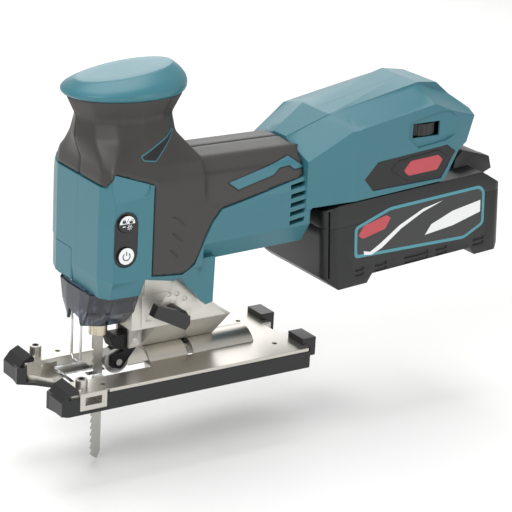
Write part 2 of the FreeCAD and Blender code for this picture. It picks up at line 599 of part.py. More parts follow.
def rear_fittings():
    """Terminal block, controller, speed dial and badges."""
    block = box("block_full", ("20", "-rail_half - rail_lip - 6", "pack_tall + 1.4"),
                ("block_back", "rail_half + rail_lip + 6", "pack_tall + rail_tall + 4"))
    web = box("block_web", ("rail_front - 1", "-rail_half - slide_gap", "pack_tall"),
              ("rail_back", "rail_half + slide_gap", "pack_tall + rail_tall + slide_gap"))
    wing = box("block_wing", ("rail_front - 1", "-rail_half - rail_lip - slide_gap",
                              "pack_tall + rail_tall - 3 - slide_gap"),
               ("rail_back", "rail_half + rail_lip + slide_gap",
                "pack_tall + rail_tall + slide_gap"))
    side_ears = []
    for turn, sign in enumerate((-1, 1)):
        low, high = ("-rear_half + rear_wall + gap", "-rail_half - rail_lip - 5") if sign < 0 \
            else ("rail_half + rail_lip + 5", "rear_half - rear_wall - gap")
        side_ears.append(box(f"block_ear_{turn}", ("40", low, "pack_tall + 1.6"),
                             ("60", high, "pack_tall + rail_tall + 3")))
    solid = fuse("block_solid", cut("block_cut", block, web, wing), *side_ears)
    node("terminal_block", tilted("terminal_block_set", solid))
    blades = [box(f"terminal_{turn}", ("26", f"{y} - 0.5", "pack_tall + rail_tall + 1.2"),
                  ("44", f"{y} + 0.5", "pack_tall + rail_tall + 9"))
              for turn, y in enumerate(("-14", "14"))]
    case = box("controller_case", ("16", "-26", "pack_tall + rail_tall + 9"),
               ("controller_back", "26", "pack_tall + rail_tall + 31"))
    foot = box("controller_foot", ("30", "-20", "pack_tall + rail_tall + 4.1"),
               ("50", "20", "pack_tall + rail_tall + 9.5"))
    hole = [box(f"terminal_way_{turn}", ("24", f"{y} - 3", "pack_tall + rail_tall + 4"),
                ("46", f"{y} + 3", "pack_tall + rail_tall + 9")) for turn, y in
            enumerate(("-14", "14"))]
    node("motor_controller", tilted("motor_controller_set", fuse(
        "controller_solid", cut("controller_cut", fuse("controller_block", case, foot), *hole),
        *blades)))
    cut_block = NODES["terminal_block"]
    sockets = tilted("terminal_sockets", group("socket_boxes", *[box(
        f"socket_{turn}", ("25", f"{y} - 0.8", "pack_tall"), ("45", f"{y} + 0.8",
                                                             "pack_tall + rail_tall + 9"))
        for turn, y in enumerate(("-14", "14"))]))
    node("terminal_block", cut("terminal_block_full", cut_block, sockets))

    wheel = cylinder("dial_disc", "Z", ("dial_x", "dial_r - rear_half + 0.8", "dial_z - dial_thick / 2"),
                     "dial_r", "dial_thick")
    notches = []
    for turn in range(24):
        notches.append(cylinder(
            f"dial_notch_{turn}", "Z",
            (f"dial_x + (dial_r + 0.35) * cos({turn * 15})",
             f"dial_r - rear_half + 0.8 + (dial_r + 0.35) * sin({turn * 15})",
             "dial_z - dial_thick"), "0.8", "dial_thick * 2"))
    bore = cylinder("dial_bore", "Z", ("dial_x", "dial_r - rear_half + 0.8", "dial_z - 9"),
                    "2 + run", "18")
    node("speed_dial", cut("speed_dial_shape", wheel, bore, *notches))
    post = cylinder("dial_post_pin", "Z", ("dial_x", "dial_r - rear_half + 0.8", "dial_z - 6"),
                    "2", "12")
    arm_low = box("dial_arm_low", ("dial_x - 5", "-rear_half + 2 * dial_r - 16", "dial_z - 7.5"),
                  ("dial_x + 5", "-8", "dial_z - dial_thick / 2 - gap"))
    arm_back = box("dial_arm_back", ("dial_x - 5", "-10", "dial_z - 7.5"),
                   ("dial_x + 5", "-6", "dial_z + dial_thick"))
    foot = box("dial_arm_foot", ("pack_x + controller_back - 5.9", "-10", "dial_z - 8"),
               ("dial_x + 5", "-6", "dial_z - 3"))
    node("dial_bracket", fuse("dial_bracket_shape", post, arm_low, arm_back, foot))

    plates = []
    for turn, (low, high) in enumerate((("-rear_half", "-rear_half + 0.9"),
                                        ("rear_half - 0.9", "rear_half"))):
        plates.append(prism(f"badge_{turn}", "XZ", low, high, badge_outline("0")))
    node("badge_plates", group("badges", *plates))


def badge_outline(grow):
    return [(f"163 - {grow}", "119"), (f"172.5 - {grow} / 2", f"129 + {grow}"),
            (f"226 + {grow} / 2", f"134 + {grow}"), (f"233 + {grow}", "128.7"),
            (f"223.5 + {grow} / 2", f"112.5 - {grow}"), (f"170 - {grow} / 2", f"110.8 - {grow}")]


# ---- gear housing and motor -----------------------------------------------------------

def gear_teeth(name, x, centre_z, teeth, phase, width, bore):
    """An involute spur gear about an axis along X, thinned by the backlash."""
    module = size("gear_module")
    pitch = module * teeth / 2
    base = pitch * math.cos(math.radians(20))
    tip = pitch + module * 0.92
    root = pitch - module * 1.25
    roll = math.tan(math.radians(20)) - math.radians(20)
    half = math.pi / (2 * teeth) - size("backlash") / (2 * pitch)
    outline = []

    def flank(radius):
        press = math.acos(min(1, base / radius))
        return half + roll - (math.tan(press) - press)

    radii = [max(base, root) + (tip - max(base, root)) * part / 4 for part in range(5)]
    for tooth in range(teeth):
        middle = 2 * math.pi * (tooth + phase) / teeth
        spots = [(root, -flank(radii[0]) - 0.01)]
        spots += [(radius, -flank(radius)) for radius in radii]
        spots += [(radius, flank(radius)) for radius in reversed(radii)]
        spots += [(root, flank(radii[0]) + 0.01)]
        for radius, angle in spots:
            outline.append(FreeCAD.Vector(0, radius * math.cos(middle + angle),
                                          radius * math.sin(middle + angle)))
    outline.append(outline[0])
    face = Part.Face(Part.makePolygon(outline))
    wheel = face.extrude(FreeCAD.Vector(size(width), 0, 0))
    if bore:
        wheel = wheel.cut(Part.makeCylinder(bore, 60, FreeCAD.Vector(-20, 0, 0),
                                            FreeCAD.Vector(1, 0, 0)))
    gear = DOC.addObject("Part::Feature", name)
    gear.Shape = wheel
    bind(gear, Placement__Base__x=x, Placement__Base__z=centre_z)
    return gear


def gear_case():
    """The cast housing: side walls, back wall and the foot that rides on the base's saddle."""
    back = "case_back"
    upper = box("case_upper", ("case_front - 15", "-case_half", "62"),
                (back, "case_half", "trunnion_top"))
    room = box("case_room", ("case_front - 20", "-case_half + case_wall",
                             "crank_z - gear_module * (crank_teeth / 2 + 1) - 0.8"),
               ("case_back - 6.5", "case_half - case_wall", "200"))
    shoulder = box("case_shoulder", ("case_front - 2", "-case_half - 1", "trunnion_z - 4"),
                   ("case_back + 1", "case_half + 1", "200"))
    front_cut = box("case_front_cut", ("case_front - 20", "-case_half - 1", "60"),
                    ("case_front", "case_half + 1", "trunnion_z - 7"))
    shell = cut("case_shell", upper, front_cut)
    leg = prism("case_leg", "XZ", "-case_leg_half", "case_leg_half",
                [("case_front", "case_low"), ("case_front", "66"), ("32", "71.5"), ("38", "71.5"),
                 ("60", "54"), ("66", "49"), ("foot_back - 3", "case_low")])
    leg_room = prism("case_leg_room", "XZ", "-case_leg_half + 3", "case_leg_half - 3",
                     [("24", "case_low + 8"), ("24", "case_low + 22"), ("40", "case_low + 22"),
                      ("55", "case_low + 8")])
    foot = prism("case_foot", "YZ", "foot_front", "foot_back",
                 [("-case_leg_half", "case_low + 0.2"), ("-2.5", "bevel_z + saddle_r - 0.6"),
                  ("2.5", "bevel_z + saddle_r - 0.6"), ("case_leg_half", "case_low + 0.2")])
    ears = [box(f"case_ear_{turn}", ("arm_x - 4.5", low, "arm_z - 4"),
                ("arm_x + 4.5", high, "case_low + 1"))
            for turn, (low, high) in enumerate((("-8", "-5.9"), ("5.9", "8")))]
    saddle_way = cylinder("case_saddle_way", "X", ("0", "0", "bevel_z"), "saddle_r + gap", "120")
    motor_bore = cylinder("case_motor_bore", "X", ("0", "0", "motor_z"), "bearing_r + run", "60")
    stub_bore = cylinder("case_stub_bore", "X", ("20", "0", "crank_z"), "stub_r", "40")
    trunnion = cylinder("case_trunnion", "Y", ("0", "-40", "trunnion_z"), "trunnion_r + run",
                        "80")
    ear_bore = cylinder("case_ear_bore", "Y", ("arm_x", "-20", "arm_z"), "pin_r", "40")
    lever_bore = cylinder("case_lever_bore", "Y", ("lever_x", "-40", "lever_z"), "3 + run", "30")
    bolt_bore = cylinder("case_bolt_bore", "Z", ("bolt_x", "0", "0"), "bolt_r", "36")
    guard_bores = [cylinder(f"case_guard_bore_{turn}", "X", ("0", f"{sign} * 10.5", "56"),
                            "wire_r", "20") for turn, sign in enumerate((-1, 1))]
    node("gear_housing", cut(
        "gear_housing_cast", fuse("case_solid", shell, cut("case_leg_cut", leg, leg_room), foot,
                                  *ears),
        room, shoulder, saddle_way, motor_bore, stub_bore, trunnion, ear_bore, lever_bore, bolt_bore,
        *guard_bores))
    node("crank_stub", cylinder("crank_stub_pin", "X", ("gear_x - 0.6", "0", "crank_z"),
                                "stub_r", "case_back - gear_x + 0.6"))
    node("front_bearing", tube("front_bearing_ring", "X", ("front_bearing_x", "0", "motor_z"),
                               "bearing_r", "shaft_r + run", "bearing_wide"))
    node("rear_bearing", tube("rear_bearing_ring", "X", ("rear_bearing_x", "0", "motor_z"),
                              "bearing_r", "shaft_r + run", "bearing_wide"))


def crank_and_motor():
    """Pinion shaft with rotor and fan, the crank gear with its pin, and the stator."""
    gear = gear_teeth("crank_wheel", "gear_x", "crank_z", int(size("crank_teeth")), 0.5,
                      "gear_wide", size("stub_r") + size("run"))
    node("crank_gear", gear)
    node("crank_pin", cylinder("crank_pin_bar", "X",
                               ("yoke_x + yoke_thick + gap", "0", "crank_z - throw"),
                               "crank_pin_r", "gear_x - yoke_x - yoke_thick - gap"))
    weight = prism("weight_plate", "YZ", "gear_x + gear_wide + gap",
                   "gear_x + gear_wide + gap + 3.2",
                   [("-13", "crank_z - 14"), ("13", "crank_z - 14"), ("17", "crank_z + 2"),
                    ("17", "crank_z + 11"), ("-17", "crank_z + 11"), ("-17", "crank_z + 2")])
    slot_low = cylinder("weight_slot_low", "X", ("0", "0", "crank_z"), "stub_r + gap", "60")
    node("counterweight", cut("counterweight_shape", weight, slot_low, box(
        "weight_way", ("0", "-stub_r - gap", "crank_z"), ("60", "stub_r + gap", "crank_z + stub_r + weight_travel"))))

    pinion = gear_teeth("pinion", "gear_x", "motor_z", int(size("pinion_teeth")), 0.5,
                        "gear_wide", 0)
    shaft = turned("shaft_turning", ("gear_x + gear_wide - 1", "gear_x + gear_wide", "2.8"),
                   ("gear_x + gear_wide", "shaft_back", "shaft_r"))
    shaft_set = placed("shaft_set", shaft, "0", "0", "motor_z")
    node("rotor_shaft", fuse("rotor_shaft_shape", pinion, shaft_set))
    node("rotor_core", tube("rotor_core_ring", "X", ("rotor_front", "0", "motor_z"), "rotor_r",
                            "shaft_r", "rotor_long"))
    hub = tube("fan_hub", "X", ("fan_x - 3", "0", "motor_z"), "7", "shaft_r", "12")
    disc = tube("fan_disc", "X", ("fan_x - 3", "0", "motor_z"), "fan_r", "shaft_r", "2")
    blades = []
    for turn in range(9):
        blade = box(f"fan_blade_{turn}", ("fan_x - 2", "-0.8", "6"), ("fan_x + 8", "0.8",
                                                                  "fan_r - 0.5"))
        blades.append(placed(f"fan_blade_set_{turn}", blade, "0", "0", "motor_z", (1, 0, 0),
                             str(turn * 40 + 0.01)))
    node("cooling_fan", fuse("cooling_fan_shape", hub, disc, *blades))
    teeth = [box(f"stator_tooth_{turn}", ("rotor_front", "-3", "rotor_r + air"),
                 ("rotor_front + rotor_long", "3", "stator_r - 2")) for turn in range(6)]
    yoke = tube("stator_yoke", "X", ("rotor_front", "0", "motor_z"), "stator_r",
                "stator_r - 3.5", "rotor_long")
    arms = [placed(f"stator_arm_{turn}", tooth, "0", "0", "motor_z", (1, 0, 0),
                   str(turn * 60 + 0.01)) for turn, tooth in enumerate(teeth)]
    bore = cylinder("stator_bore", "X", ("0", "0", "motor_z"), "rotor_r + air", "200")
    node("stator_core", cut("stator_core_cut", fuse("stator_core_shape", yoke, *arms), bore))
    coils = []
    for turn in range(6):
        ring = box(f"coil_full_{turn}", ("rotor_front - 3.5", "-5.6", "rotor_r + 2.4"),
                   ("rotor_front + rotor_long + 3.5", "5.6", "stator_r - 5"))
        hole = box(f"coil_hole_{turn}", ("rotor_front - 0.3", "-3.2", "0"),
                   ("rotor_front + rotor_long + 0.3", "3.2", "40"))
        coils.append(placed(f"coil_{turn}", cut(f"coil_cut_{turn}", ring, hole), "0", "0",
                            "motor_z", (1, 0, 0), str(turn * 60 + 0.01)))
    node("stator_coils", group("coil_set", *coils))


# ---- rod, blade and roller --------------------------------------------------------------

def rod_and_blade():
    """The swinging frame with its bushes, the rod with its yoke, clamp sleeve and blade."""
    blocks = [box(f"frame_block_{turn}", ("frame_front", "-frame_half", low),
                  ("6.4", "frame_half", f"{low} + bush_tall"))
              for turn, low in enumerate(("low_bush_z", "top_bush_z"))]
    spine = box("frame_spine", ("frame_front", "-frame_half", "low_bush_z + 1"),
                ("frame_front + 3.2", "frame_half", "top_bush_z + 1"))
    trunnions = cylinder("frame_trunnions", "Y", ("0", "-case_half", "trunnion_z"), "trunnion_r",
                         "2 * case_half")
    bore = cylinder("frame_bore", "Z", ("0", "0", "40"), "rod_r + run + bush_wall", "120")
    node("rod_frame", cut("rod_frame_shape", fuse("frame_solid", *blocks, spine, trunnions),
                          bore))
    node("rod_bushes", group("bushes", *[tube(
        f"bush_{turn}", "Z", ("0", "0", low), "rod_r + run + bush_wall", "rod_r + run",
        "bush_tall") for turn, low in enumerate(("low_bush_z", "top_bush_z"))]))

    bar = cylinder("rod_bar", "Z", ("0", "0", "rod_low"), "rod_r", "rod_top - rod_low")
    slit = box("rod_slit", ("-9", "-blade_thick / 2 - 0.03", "rod_low - 1"),
               ("9", "blade_thick / 2 + 0.03", "slot_top"))
    node("rod", cut("rod_shape", bar, slit))
    plate = box("yoke_plate", ("yoke_x", "-yoke_half", "crank_z - throw - 6.4"),
                ("yoke_x + yoke_thick", "yoke_half", "crank_z - throw + 6.4"))
    web = box("yoke_web", ("yoke_x", "-6", "crank_z - throw + 5"),
              ("yoke_x + yoke_thick", "6", "yoke_boss_z + 8"))
    boss = box("yoke_boss", ("-6", "-6", "yoke_boss_z"), ("yoke_x + 1", "6", "yoke_boss_z + 8"))
    slot = box("yoke_slot", ("0", "-yoke_half + 2.6", "crank_z - throw - crank_pin_r - run"),
               ("20", "yoke_half - 2.6", "crank_z - throw + crank_pin_r + run"))
    seat = cylinder("yoke_seat", "Z", ("0", "0", "50"), "rod_r", "80")
    node("rod_yoke", cut("rod_yoke_shape", fuse("yoke_solid", plate, web, boss), slot, seat))
    sleeve = tube("sleeve_tube", "Z", ("0", "0", "sleeve_low"), "sleeve_r", "rod_r + run",
                  "sleeve_top - sleeve_low")
    node("clamp_sleeve", sleeve)
    teeth = []
    for turn in range(16):
        low = f"blade_tip + 6 + {turn} * tooth_pitch"
        teeth.append(("-blade_half + 1.5", low))
        teeth.append((f"-blade_half + 0.1", f"{low} + 1.2"))
    outline = [("blade_half - 2.4", "blade_tip"), ("-blade_half + 0.6", "blade_tip + 3")]
    outline += teeth
    outline += [("-blade_half", "rod_low - 6"), ("-blade_half", "rod_low - 1"),
                ("-3.2", "rod_low + 1"), ("-3.2", "slot_top - 3.6"), ("-3.7", "slot_top - 3"),
                ("-3.7", "slot_top - 0.2"), ("3.7", "slot_top - 0.2"), ("3.7", "slot_top - 3"),
                ("3.2", "slot_top - 3.6"), ("3.2", "rod_low"), ("blade_half", "rod_low - 1"),
                ("blade_half", "blade_tip + 5")]
    node("blade", prism("blade_plate", "XZ", "-blade_thick / 2", "blade_thick / 2", outline))


def roller_arm():
    """The forked arm, its roller and pins, carried by the gear housing's ears."""
    path = [("roller_x - 4.5", "roller_z - 3"), ("roller_x + 2", "roller_z - 5"),
            ("arm_x + 3.6", "arm_z - 4"), ("arm_x + 4", "arm_z + 3"), ("arm_x - 3", "arm_z + 4.2"),
            ("roller_x - 2", "roller_z + 17"), ("roller_x - 6", "roller_z + 15.5"),
            ("roller_x - 3.5", "roller_z + 9"), ("roller_x + 4", "roller_z + 7"),
            ("roller_x - 4.5", "roller_z + 3.5")]
    full = prism("fork_full", "XZ", "-roller_half - fork_thick - 0.4",
                 "roller_half + fork_thick + 0.4", path)
    gap = box("fork_gap", ("roller_x - 12", "-roller_half - 0.4", "0"),
              ("roller_x + 7", "roller_half + 0.4", "roller_z + roller_r + 0.6"))
    gap_back = cylinder("fork_gap_round", "Y", ("roller_x", "-roller_half - 0.4", "roller_z"),
                        "roller_r + 0.5", "2 * roller_half + 0.8")
    pin_bore = cylinder("fork_pin_bore", "Y", ("arm_x", "-20", "arm_z"), "pin_r + run", "40")
    roller_bore = cylinder("fork_roller_bore", "Y", ("roller_x", "-20", "roller_z"), "pin_r",
                           "40")
    node("roller_fork", cut("roller_fork_shape", full, gap, gap_back, pin_bore, roller_bore))
    groove = cylinder("roller_disc", "Y", ("roller_x", "-roller_half", "roller_z"), "roller_r",
                      "2 * roller_half")
    bore = cylinder("roller_bore", "Y", ("roller_x", "-20", "roller_z"), "pin_r + run", "40")
    node("guide_roller", cut("guide_roller_shape", groove, bore))
    node("roller_pin", cylinder("roller_pin_bar", "Y", ("roller_x", "-roller_half - 3.4",
                                                         "roller_z"), "pin_r",
                                "2 * roller_half + 5.8"))
    node("fork_pin", cylinder("fork_pin_bar", "Y", ("arm_x", "-8", "arm_z"), "pin_r", "16"))


# ---- base ---------------------------------------------------------------------------------

def base():
    """Base plate with its saddle, the black cover, the clear insert and the fasteners."""
    edge = "(base_half - cover_wall - 0.1)"
    plate = prism("plate_outline", "XY", "cover_floor", "plate_top",
                  [("base_front + 2", f"-{edge} + 2"), ("base_front + 5", f"-({edge})"),
                   ("base_back - 4", f"-({edge})"), ("base_back - 1", f"-{edge} + 4"),
                   ("base_back - 1", "-10"), ("base_back - 7", "-8"), ("base_back - 7", "8"),
                   ("base_back - 1", "10"), ("base_back - 1", f"{edge} - 4"),
                   ("base_back - 4", edge), ("base_front + 5", edge),
                   ("base_front + 2", f"{edge} - 2"), ("base_front + 2", "window_half + 1"),
                   ("base_front + 8", "15"), ("base_front + 15", "6.5"),
                   ("window_front", "6.5"), ("window_front", "-6.5"),
                   ("base_front + 15", "-6.5"), ("base_front + 8", "-15"),
                   ("base_front + 2", "-window_half - 1")])
    rims = [box(f"plate_rim_{turn}", ("-12", low, "cover_tall + 0.1"),
                ("base_back - 4", high, "plate_top"))
            for turn, (low, high) in enumerate((("-base_half + 0.4", "-30"),
                                                ("30", "base_half - 0.4")))]
    window = box("plate_window", ("window_front", "-window_half", "0"),
                 ("window_back", "window_half", "20"))
    prow = prism("plate_prow", "XY", "cover_floor + 3", "30",
                 [("base_front - 1", "-window_half + 0.5"), ("window_front + 0.5",
                                                              "-window_half + 0.5"),
                  ("window_front + 0.5", "window_half - 0.5"),
                  ("base_front - 1", "window_half - 0.5")])
    below = box("plate_below", ("window_back + 5", "-31", "0"),
                ("base_back - 12", "31", "plate_top - plate_skin"))
    saddle = cylinder("saddle_bar", "X", ("saddle_front", "0", "bevel_z"), "saddle_r",
                      "saddle_back - saddle_front")
    hollow = cylinder("saddle_hollow", "X", ("window_back - 5", "0", "bevel_z"),
                      "saddle_r - saddle_wall", "saddle_back - window_back + 3")
    hollow_low = box("saddle_hollow_low", ("window_back - 5", "-saddle_r + saddle_wall", "-20"),
                     ("saddle_back - 2", "saddle_r - saddle_wall", "bevel_z"))
    floor_cut = box("saddle_floor_cut", ("-60", "-40", "-40"), ("200", "40", "cover_floor"))
    slots = [box(f"saddle_slot_{turn}", (f"{x} - bolt_r - gap", "-13.2", "bevel_z + 5.5"),
                 (f"{x} + bolt_r + gap", "13.2", "40"))
             for turn, x in enumerate(("bolt_x",))]
    long_slot = box("saddle_long_slot", ("bolt_x - 14", "-bolt_r - gap", "bevel_z + 5"),
                    ("bolt_x + 20", "bolt_r + gap", "40"))
    blocks = [box(f"fence_block_{turn}", ("fence_x - 9", low, "cover_floor"),
                  ("fence_x + 9", high, "plate_top"))
              for turn, (low, high) in enumerate((("-base_half + 0.3", "-window_half"),
                                                  ("window_half", "base_half - 0.3")))]
    fence = box("fence_way", ("fence_x - fence_long / 2", "-60", "5.2"),
                ("fence_x + fence_long / 2", "60", "5.2 + fence_tall"))
    bosses = [cylinder(f"boss_{turn}", "Z", ("boss_x", f"{sign} * boss_y", "plate_top - 1"),
                       "boss_r", "7") for turn, sign in enumerate((-1, 1))]
    boss_bores = [cylinder(f"boss_bore_{turn}", "Z", ("boss_x", f"{sign} * boss_y", "8"), "2",
                           "14") for turn, sign in enumerate((-1, 1))]
    pin_holes = [cylinder(f"plate_hole_{turn}", "Z", (x, y, "0"), "1.6", "20")
                 for turn, (x, y) in enumerate((("-12", "-29"), ("-12", "27.5"),
                                                ("115", "-21"), ("115", "21")))]
    solid = fuse("plate_solid", cut("plate_cut", plate, window, prow, below), saddle, *rims,
                 *blocks, *bosses)
    node("base_plate", cut("base_plate_shape", solid, hollow, hollow_low, floor_cut, *slots,
                           long_slot, fence, *boss_bores, *pin_holes))

    skirt = prism("cover_outline", "XY", "0", "cover_tall",
                  [("base_front", "-base_half + 1"), ("base_front + 2", "-base_half"),
                   ("base_back - 3", "-base_half"), ("base_back", "-base_half + 4"),
                   ("base_back", "-12"), ("base_back - 6", "-9.5"), ("base_back - 6", "9.5"),
                   ("base_back", "12"), ("base_back", "base_half - 4"),
                   ("base_back - 3", "base_half"), ("base_front + 2", "base_half"),
                   ("base_front", "base_half - 1"), ("base_front - 3", "window_half"),
                   ("base_front + 6", "13"), ("base_front + 14", "5"), ("window_front", "5"),
                   ("window_front", "-5"), ("base_front + 14", "-5"), ("base_front + 6", "-13"),
                   ("base_front - 3", "-window_half")])
    inside = prism("cover_inside", "XY", "cover_floor", "20",
                   [("base_front + 1.9", f"-{edge} + 1.9"), ("base_front + 4.9", f"-{edge} - 0.1"),
                    ("base_back - 3.9", f"-{edge} - 0.1"), ("base_back - 0.9", f"-{edge} + 3.9"),
                    ("base_back - 0.9", f"{edge} - 3.9"), ("base_back - 3.9", f"{edge} + 0.1"),
                    ("base_front + 4.9", f"{edge} + 0.1"), ("base_front + 1.9", f"{edge} - 1.9")])
    sole_window = box("cover_window", ("window_front", "-window_half + 3", "-5"),
                      ("window_back + 4", "window_half - 3", "30"))
    sole_saddle = box("cover_saddle", ("window_back + 2", "-saddle_r - 1", "-5"),
                      ("saddle_back - 1", "saddle_r + 1", "30"))
    notches = [box(f"cover_notch_{turn}", ("fence_x - 9.3", low, "cover_floor"),
                   ("fence_x + 9.3", high, "30"))
               for turn, (low, high) in enumerate((("-60", "-30"), ("30", "60")))]
    caps = [prism(f"cover_cap_{turn}", "XZ", low, high,
                  [("base_front - 2.6", "1"), ("base_front - 2.6", "9.5"),
                   ("base_front + 1.5", "plate_top + 1.5"), ("base_front + 7", "plate_top + 4.2"),
                   ("base_front + 8.6", "plate_top + 2"), ("base_front + 8.6", "plate_top + 0.1"),
                   ("base_front + 1.9", "plate_top + 0.1"), ("base_front + 1.9", "1")])
            for turn, (low, high) in enumerate((("-base_half", "-window_half"),
                                                ("window_half", "base_half")))]
    hooks = [box(f"cover_hook_{turn}", ("base_back - 1", low, "5"),
                 ("base_back + 5", high, "plate_top + 4"))
             for turn, (low, high) in enumerate((("-31.5", "-15.5"), ("15.5", "31.5")))]
    hook_tops = [box(f"cover_hook_top_{turn}", ("base_back - 5", low, "plate_top + 0.1"),
                     ("base_back + 1", high, "plate_top + 4"))
                 for turn, (low, high) in enumerate((("-31.5", "-15.5"), ("15.5", "31.5")))]
    tray = cut("cover_tray", skirt, inside, sole_window, sole_saddle)
    node("base_cover", cut("base_cover_shape", fuse("cover_solid", tray, *caps, *hooks,
                                                    *hook_tops), *notches))

    insert = prism("insert_plate", "XY", "bevel_z - insert_tall / 2",
                   "bevel_z + insert_tall / 2",
                   [("window_front + 0.3", "-window_half + gap"), ("1", "-window_half + gap"),
                    ("1", "-2.5"), ("-7", "-2.5"), ("-7", "2.5"), ("1", "2.5"),
                    ("1", "window_half - gap"), ("window_front + 0.3", "window_half - gap")])
    node("splinter_insert", insert)

    screws = []
    for turn, sign in enumerate((-1, 1)):
        bar = cylinder(f"fence_screw_bar_{turn}", "Z", ("boss_x", f"{sign} * boss_y", "10.4"),
                       "2 - run", "8.8")
        hexagon = prism(f"fence_screw_key_{turn}", "XY", "16.9", "22",
                        [(f"boss_x + 1.3 * cos({angle})", f"{sign} * boss_y + 1.3 * sin({angle})")
                         for angle in range(0, 360, 60)])
        screws.append(cut(f"fence_screw_{turn}", bar, hexagon))
    node("fence_screws", group("fence_screw_set", *screws))

    washer = cylinder("clamp_round", "X", ("bolt_x - 9", "0", "bevel_z"),
                      "saddle_r - saddle_wall - gap", "18")
    low = box("clamp_low", ("0", "-20", "-20"), ("120", "20", "bevel_z + 5"))
    sides = [box(f"clamp_side_{turn}", ("0", a, "-20"), ("120", b, "40"))
             for turn, (a, b) in enumerate((("-20", "-6"), ("6", "20")))]
    bore = cylinder("clamp_bore", "Z", ("bolt_x", "0", "0"), "bolt_r", "40")
    node("clamp_plate", cut("clamp_plate_shape", washer, low, *sides, bore))
    shank = cylinder("bolt_shank", "Z", ("bolt_x", "0", "bevel_z + 1"), "bolt_r", "28")
    head = cylinder("bolt_head", "Z", ("bolt_x", "0", "bevel_z + 1"), "4.2", "4")
    key = prism("bolt_key", "XY", "bevel_z", "bevel_z + 3.4",
                [(f"bolt_x + 2.3 * cos({angle})", f"2.3 * sin({angle})")
                 for angle in range(0, 360, 60)])
    node("bevel_bolt", cut("bevel_bolt_shape", fuse("bevel_bolt_solid", shank, head), key))


# ---- guards, levers and controls -------------------------------------------------------------

def wire_chain(name, points, radius):
    """A bent round wire: straight runs with a ball at each bend."""
    runs = []
    for turn in range(len(points) - 1):
        start = FreeCAD.Vector(*points[turn])
        way = FreeCAD.Vector(*points[turn + 1]) - start
        runs.append(Part.makeCylinder(radius, way.Length, start, way))
        if turn:
            runs.append(Part.makeSphere(radius, start))
    wire = DOC.addObject("Part::Feature", name)
    wire.Shape = runs[0].multiFuse(runs[1:])
    return wire


def guards():
    """Wire guard in front of the blade and the sliding clear dust cover."""
    x, y, low = size("guard_x"), size("guard_half"), size("guard_low")
    back, wide, high = size("case_front") + 6, 10.5, 56
    side = [(back, wide, high), (x + 3, wide, high), (x, y + 1.5, high - 7), (x, y, high - 14),
            (x, y, low + 3), (x, y * 0.55, low)]
    mirrored = [(a, -b, c) for a, b, c in reversed(side)]
    node("wire_guard", wire_chain("wire_guard_bar", side + mirrored, size("wire_r")))

    def cover(name, grow):
        def ring(label, at, front, half, back):
            return section(f"{name}_{label}", "XY", at,
                           [(back, f"-{half} + {grow}"), (f"{front} + 11", f"-{half} + {grow}"),
                            (f"{front} + {grow} + 1", f"-{half} * 0.6"),
                            (f"{front} + {grow}", "-8"), (f"{front} + {grow}", "8"),
                            (f"{front} + {grow} + 1", f"{half} * 0.6"),
                            (f"{front} + 11", f"{half} - {grow}"), (back, f"{half} - {grow}")])
        back = "case_front - 0.4" if grow == "0" else "case_front + 5"
        return loft(name, [ring("low", "dust_low" if grow == "0" else "dust_low - 1",
                                "dust_front + 0.5", "14.5", back),
                           ring("mid", "dust_low + 10.5", "dust_front", "25", back),
                           ring("high", "head_low - gap" if grow == "0" else "head_low + 1",
                                "dust_front", "30", back)])

    arms = []
    for turn, (low, high) in enumerate((("-case_half - 2.6", "-case_half - gap"),
                                        ("case_half + gap", "case_half + 2.6"))):
        arms.append(box(f"dust_arm_{turn}", ("-2", low, "dust_low + 18"),
                        ("case_front - 0.4", high, "dust_low + 42")))
    arch = prism("dust_arch", "YZ", "dust_front - 2", "dust_front + 6",
                 [("-9", "dust_low - 2"), ("-7", "dust_low + 5"), ("5", "dust_low + 7"),
                  ("7", "dust_low - 2")])
    shell = cut("dust_shell", cover("dust_outer", "0"), cover("dust_inner", "dust_wall"))
    node("dust_cover", fuse("dust_cover_shape", cut("dust_open", shell, arch), *arms))


def levers():
    """Orbital lever on its shaft, and the tool-opener lever on its pin."""
    hub = cylinder("lever_hub", "Y", ("lever_x", "-leg_half - 4", "lever_z"), "lever_r",
                   "leg_half + 4 - case_leg_half - gap")
    shaft = cylinder("lever_shaft", "Y", ("lever_x", "-leg_half", "lever_z"), "3",
                     "leg_half - 12")
    paddle = prism("lever_paddle", "XZ", "-leg_half - 6.6", "-leg_half - 0.8",
                   [("lever_x + 5", "lever_z - 4"), ("lever_x + 2", "lever_z - 7.2"),
                    ("lever_x - 20.5", "lever_z + 4.5"), ("lever_x - 17.5", "lever_z + 11.2"),
                    ("lever_x + 2", "lever_z + 3.5"), ("lever_x + 5", "lever_z + 1")])
    node("orbital_lever", fuse("orbital_lever_shape", hub, shaft, paddle))

    leaf = prism("opener_leaf", "XY", "opener_low", "opener_top", opener_outline())
    knuckle = cylinder("opener_knuckle", "Z", ("opener_x", "opener_y", "opener_low"),
                       "opener_thick / 2",
                       "opener_top - opener_low")
    bore = cylinder("opener_bore", "Z", ("opener_x", "opener_y", "0"), "opener_pin_r + run",
                    "120")
    node("opener_lever", cut("opener_lever_shape", fuse("opener_solid", leaf, knuckle), bore))
    node("opener_pin", cylinder("opener_pin_bar", "Z", ("opener_x", "opener_y",
                                                        "opener_low - 1.2"),
                                "opener_pin_r", "opener_top - opener_low + 4"))


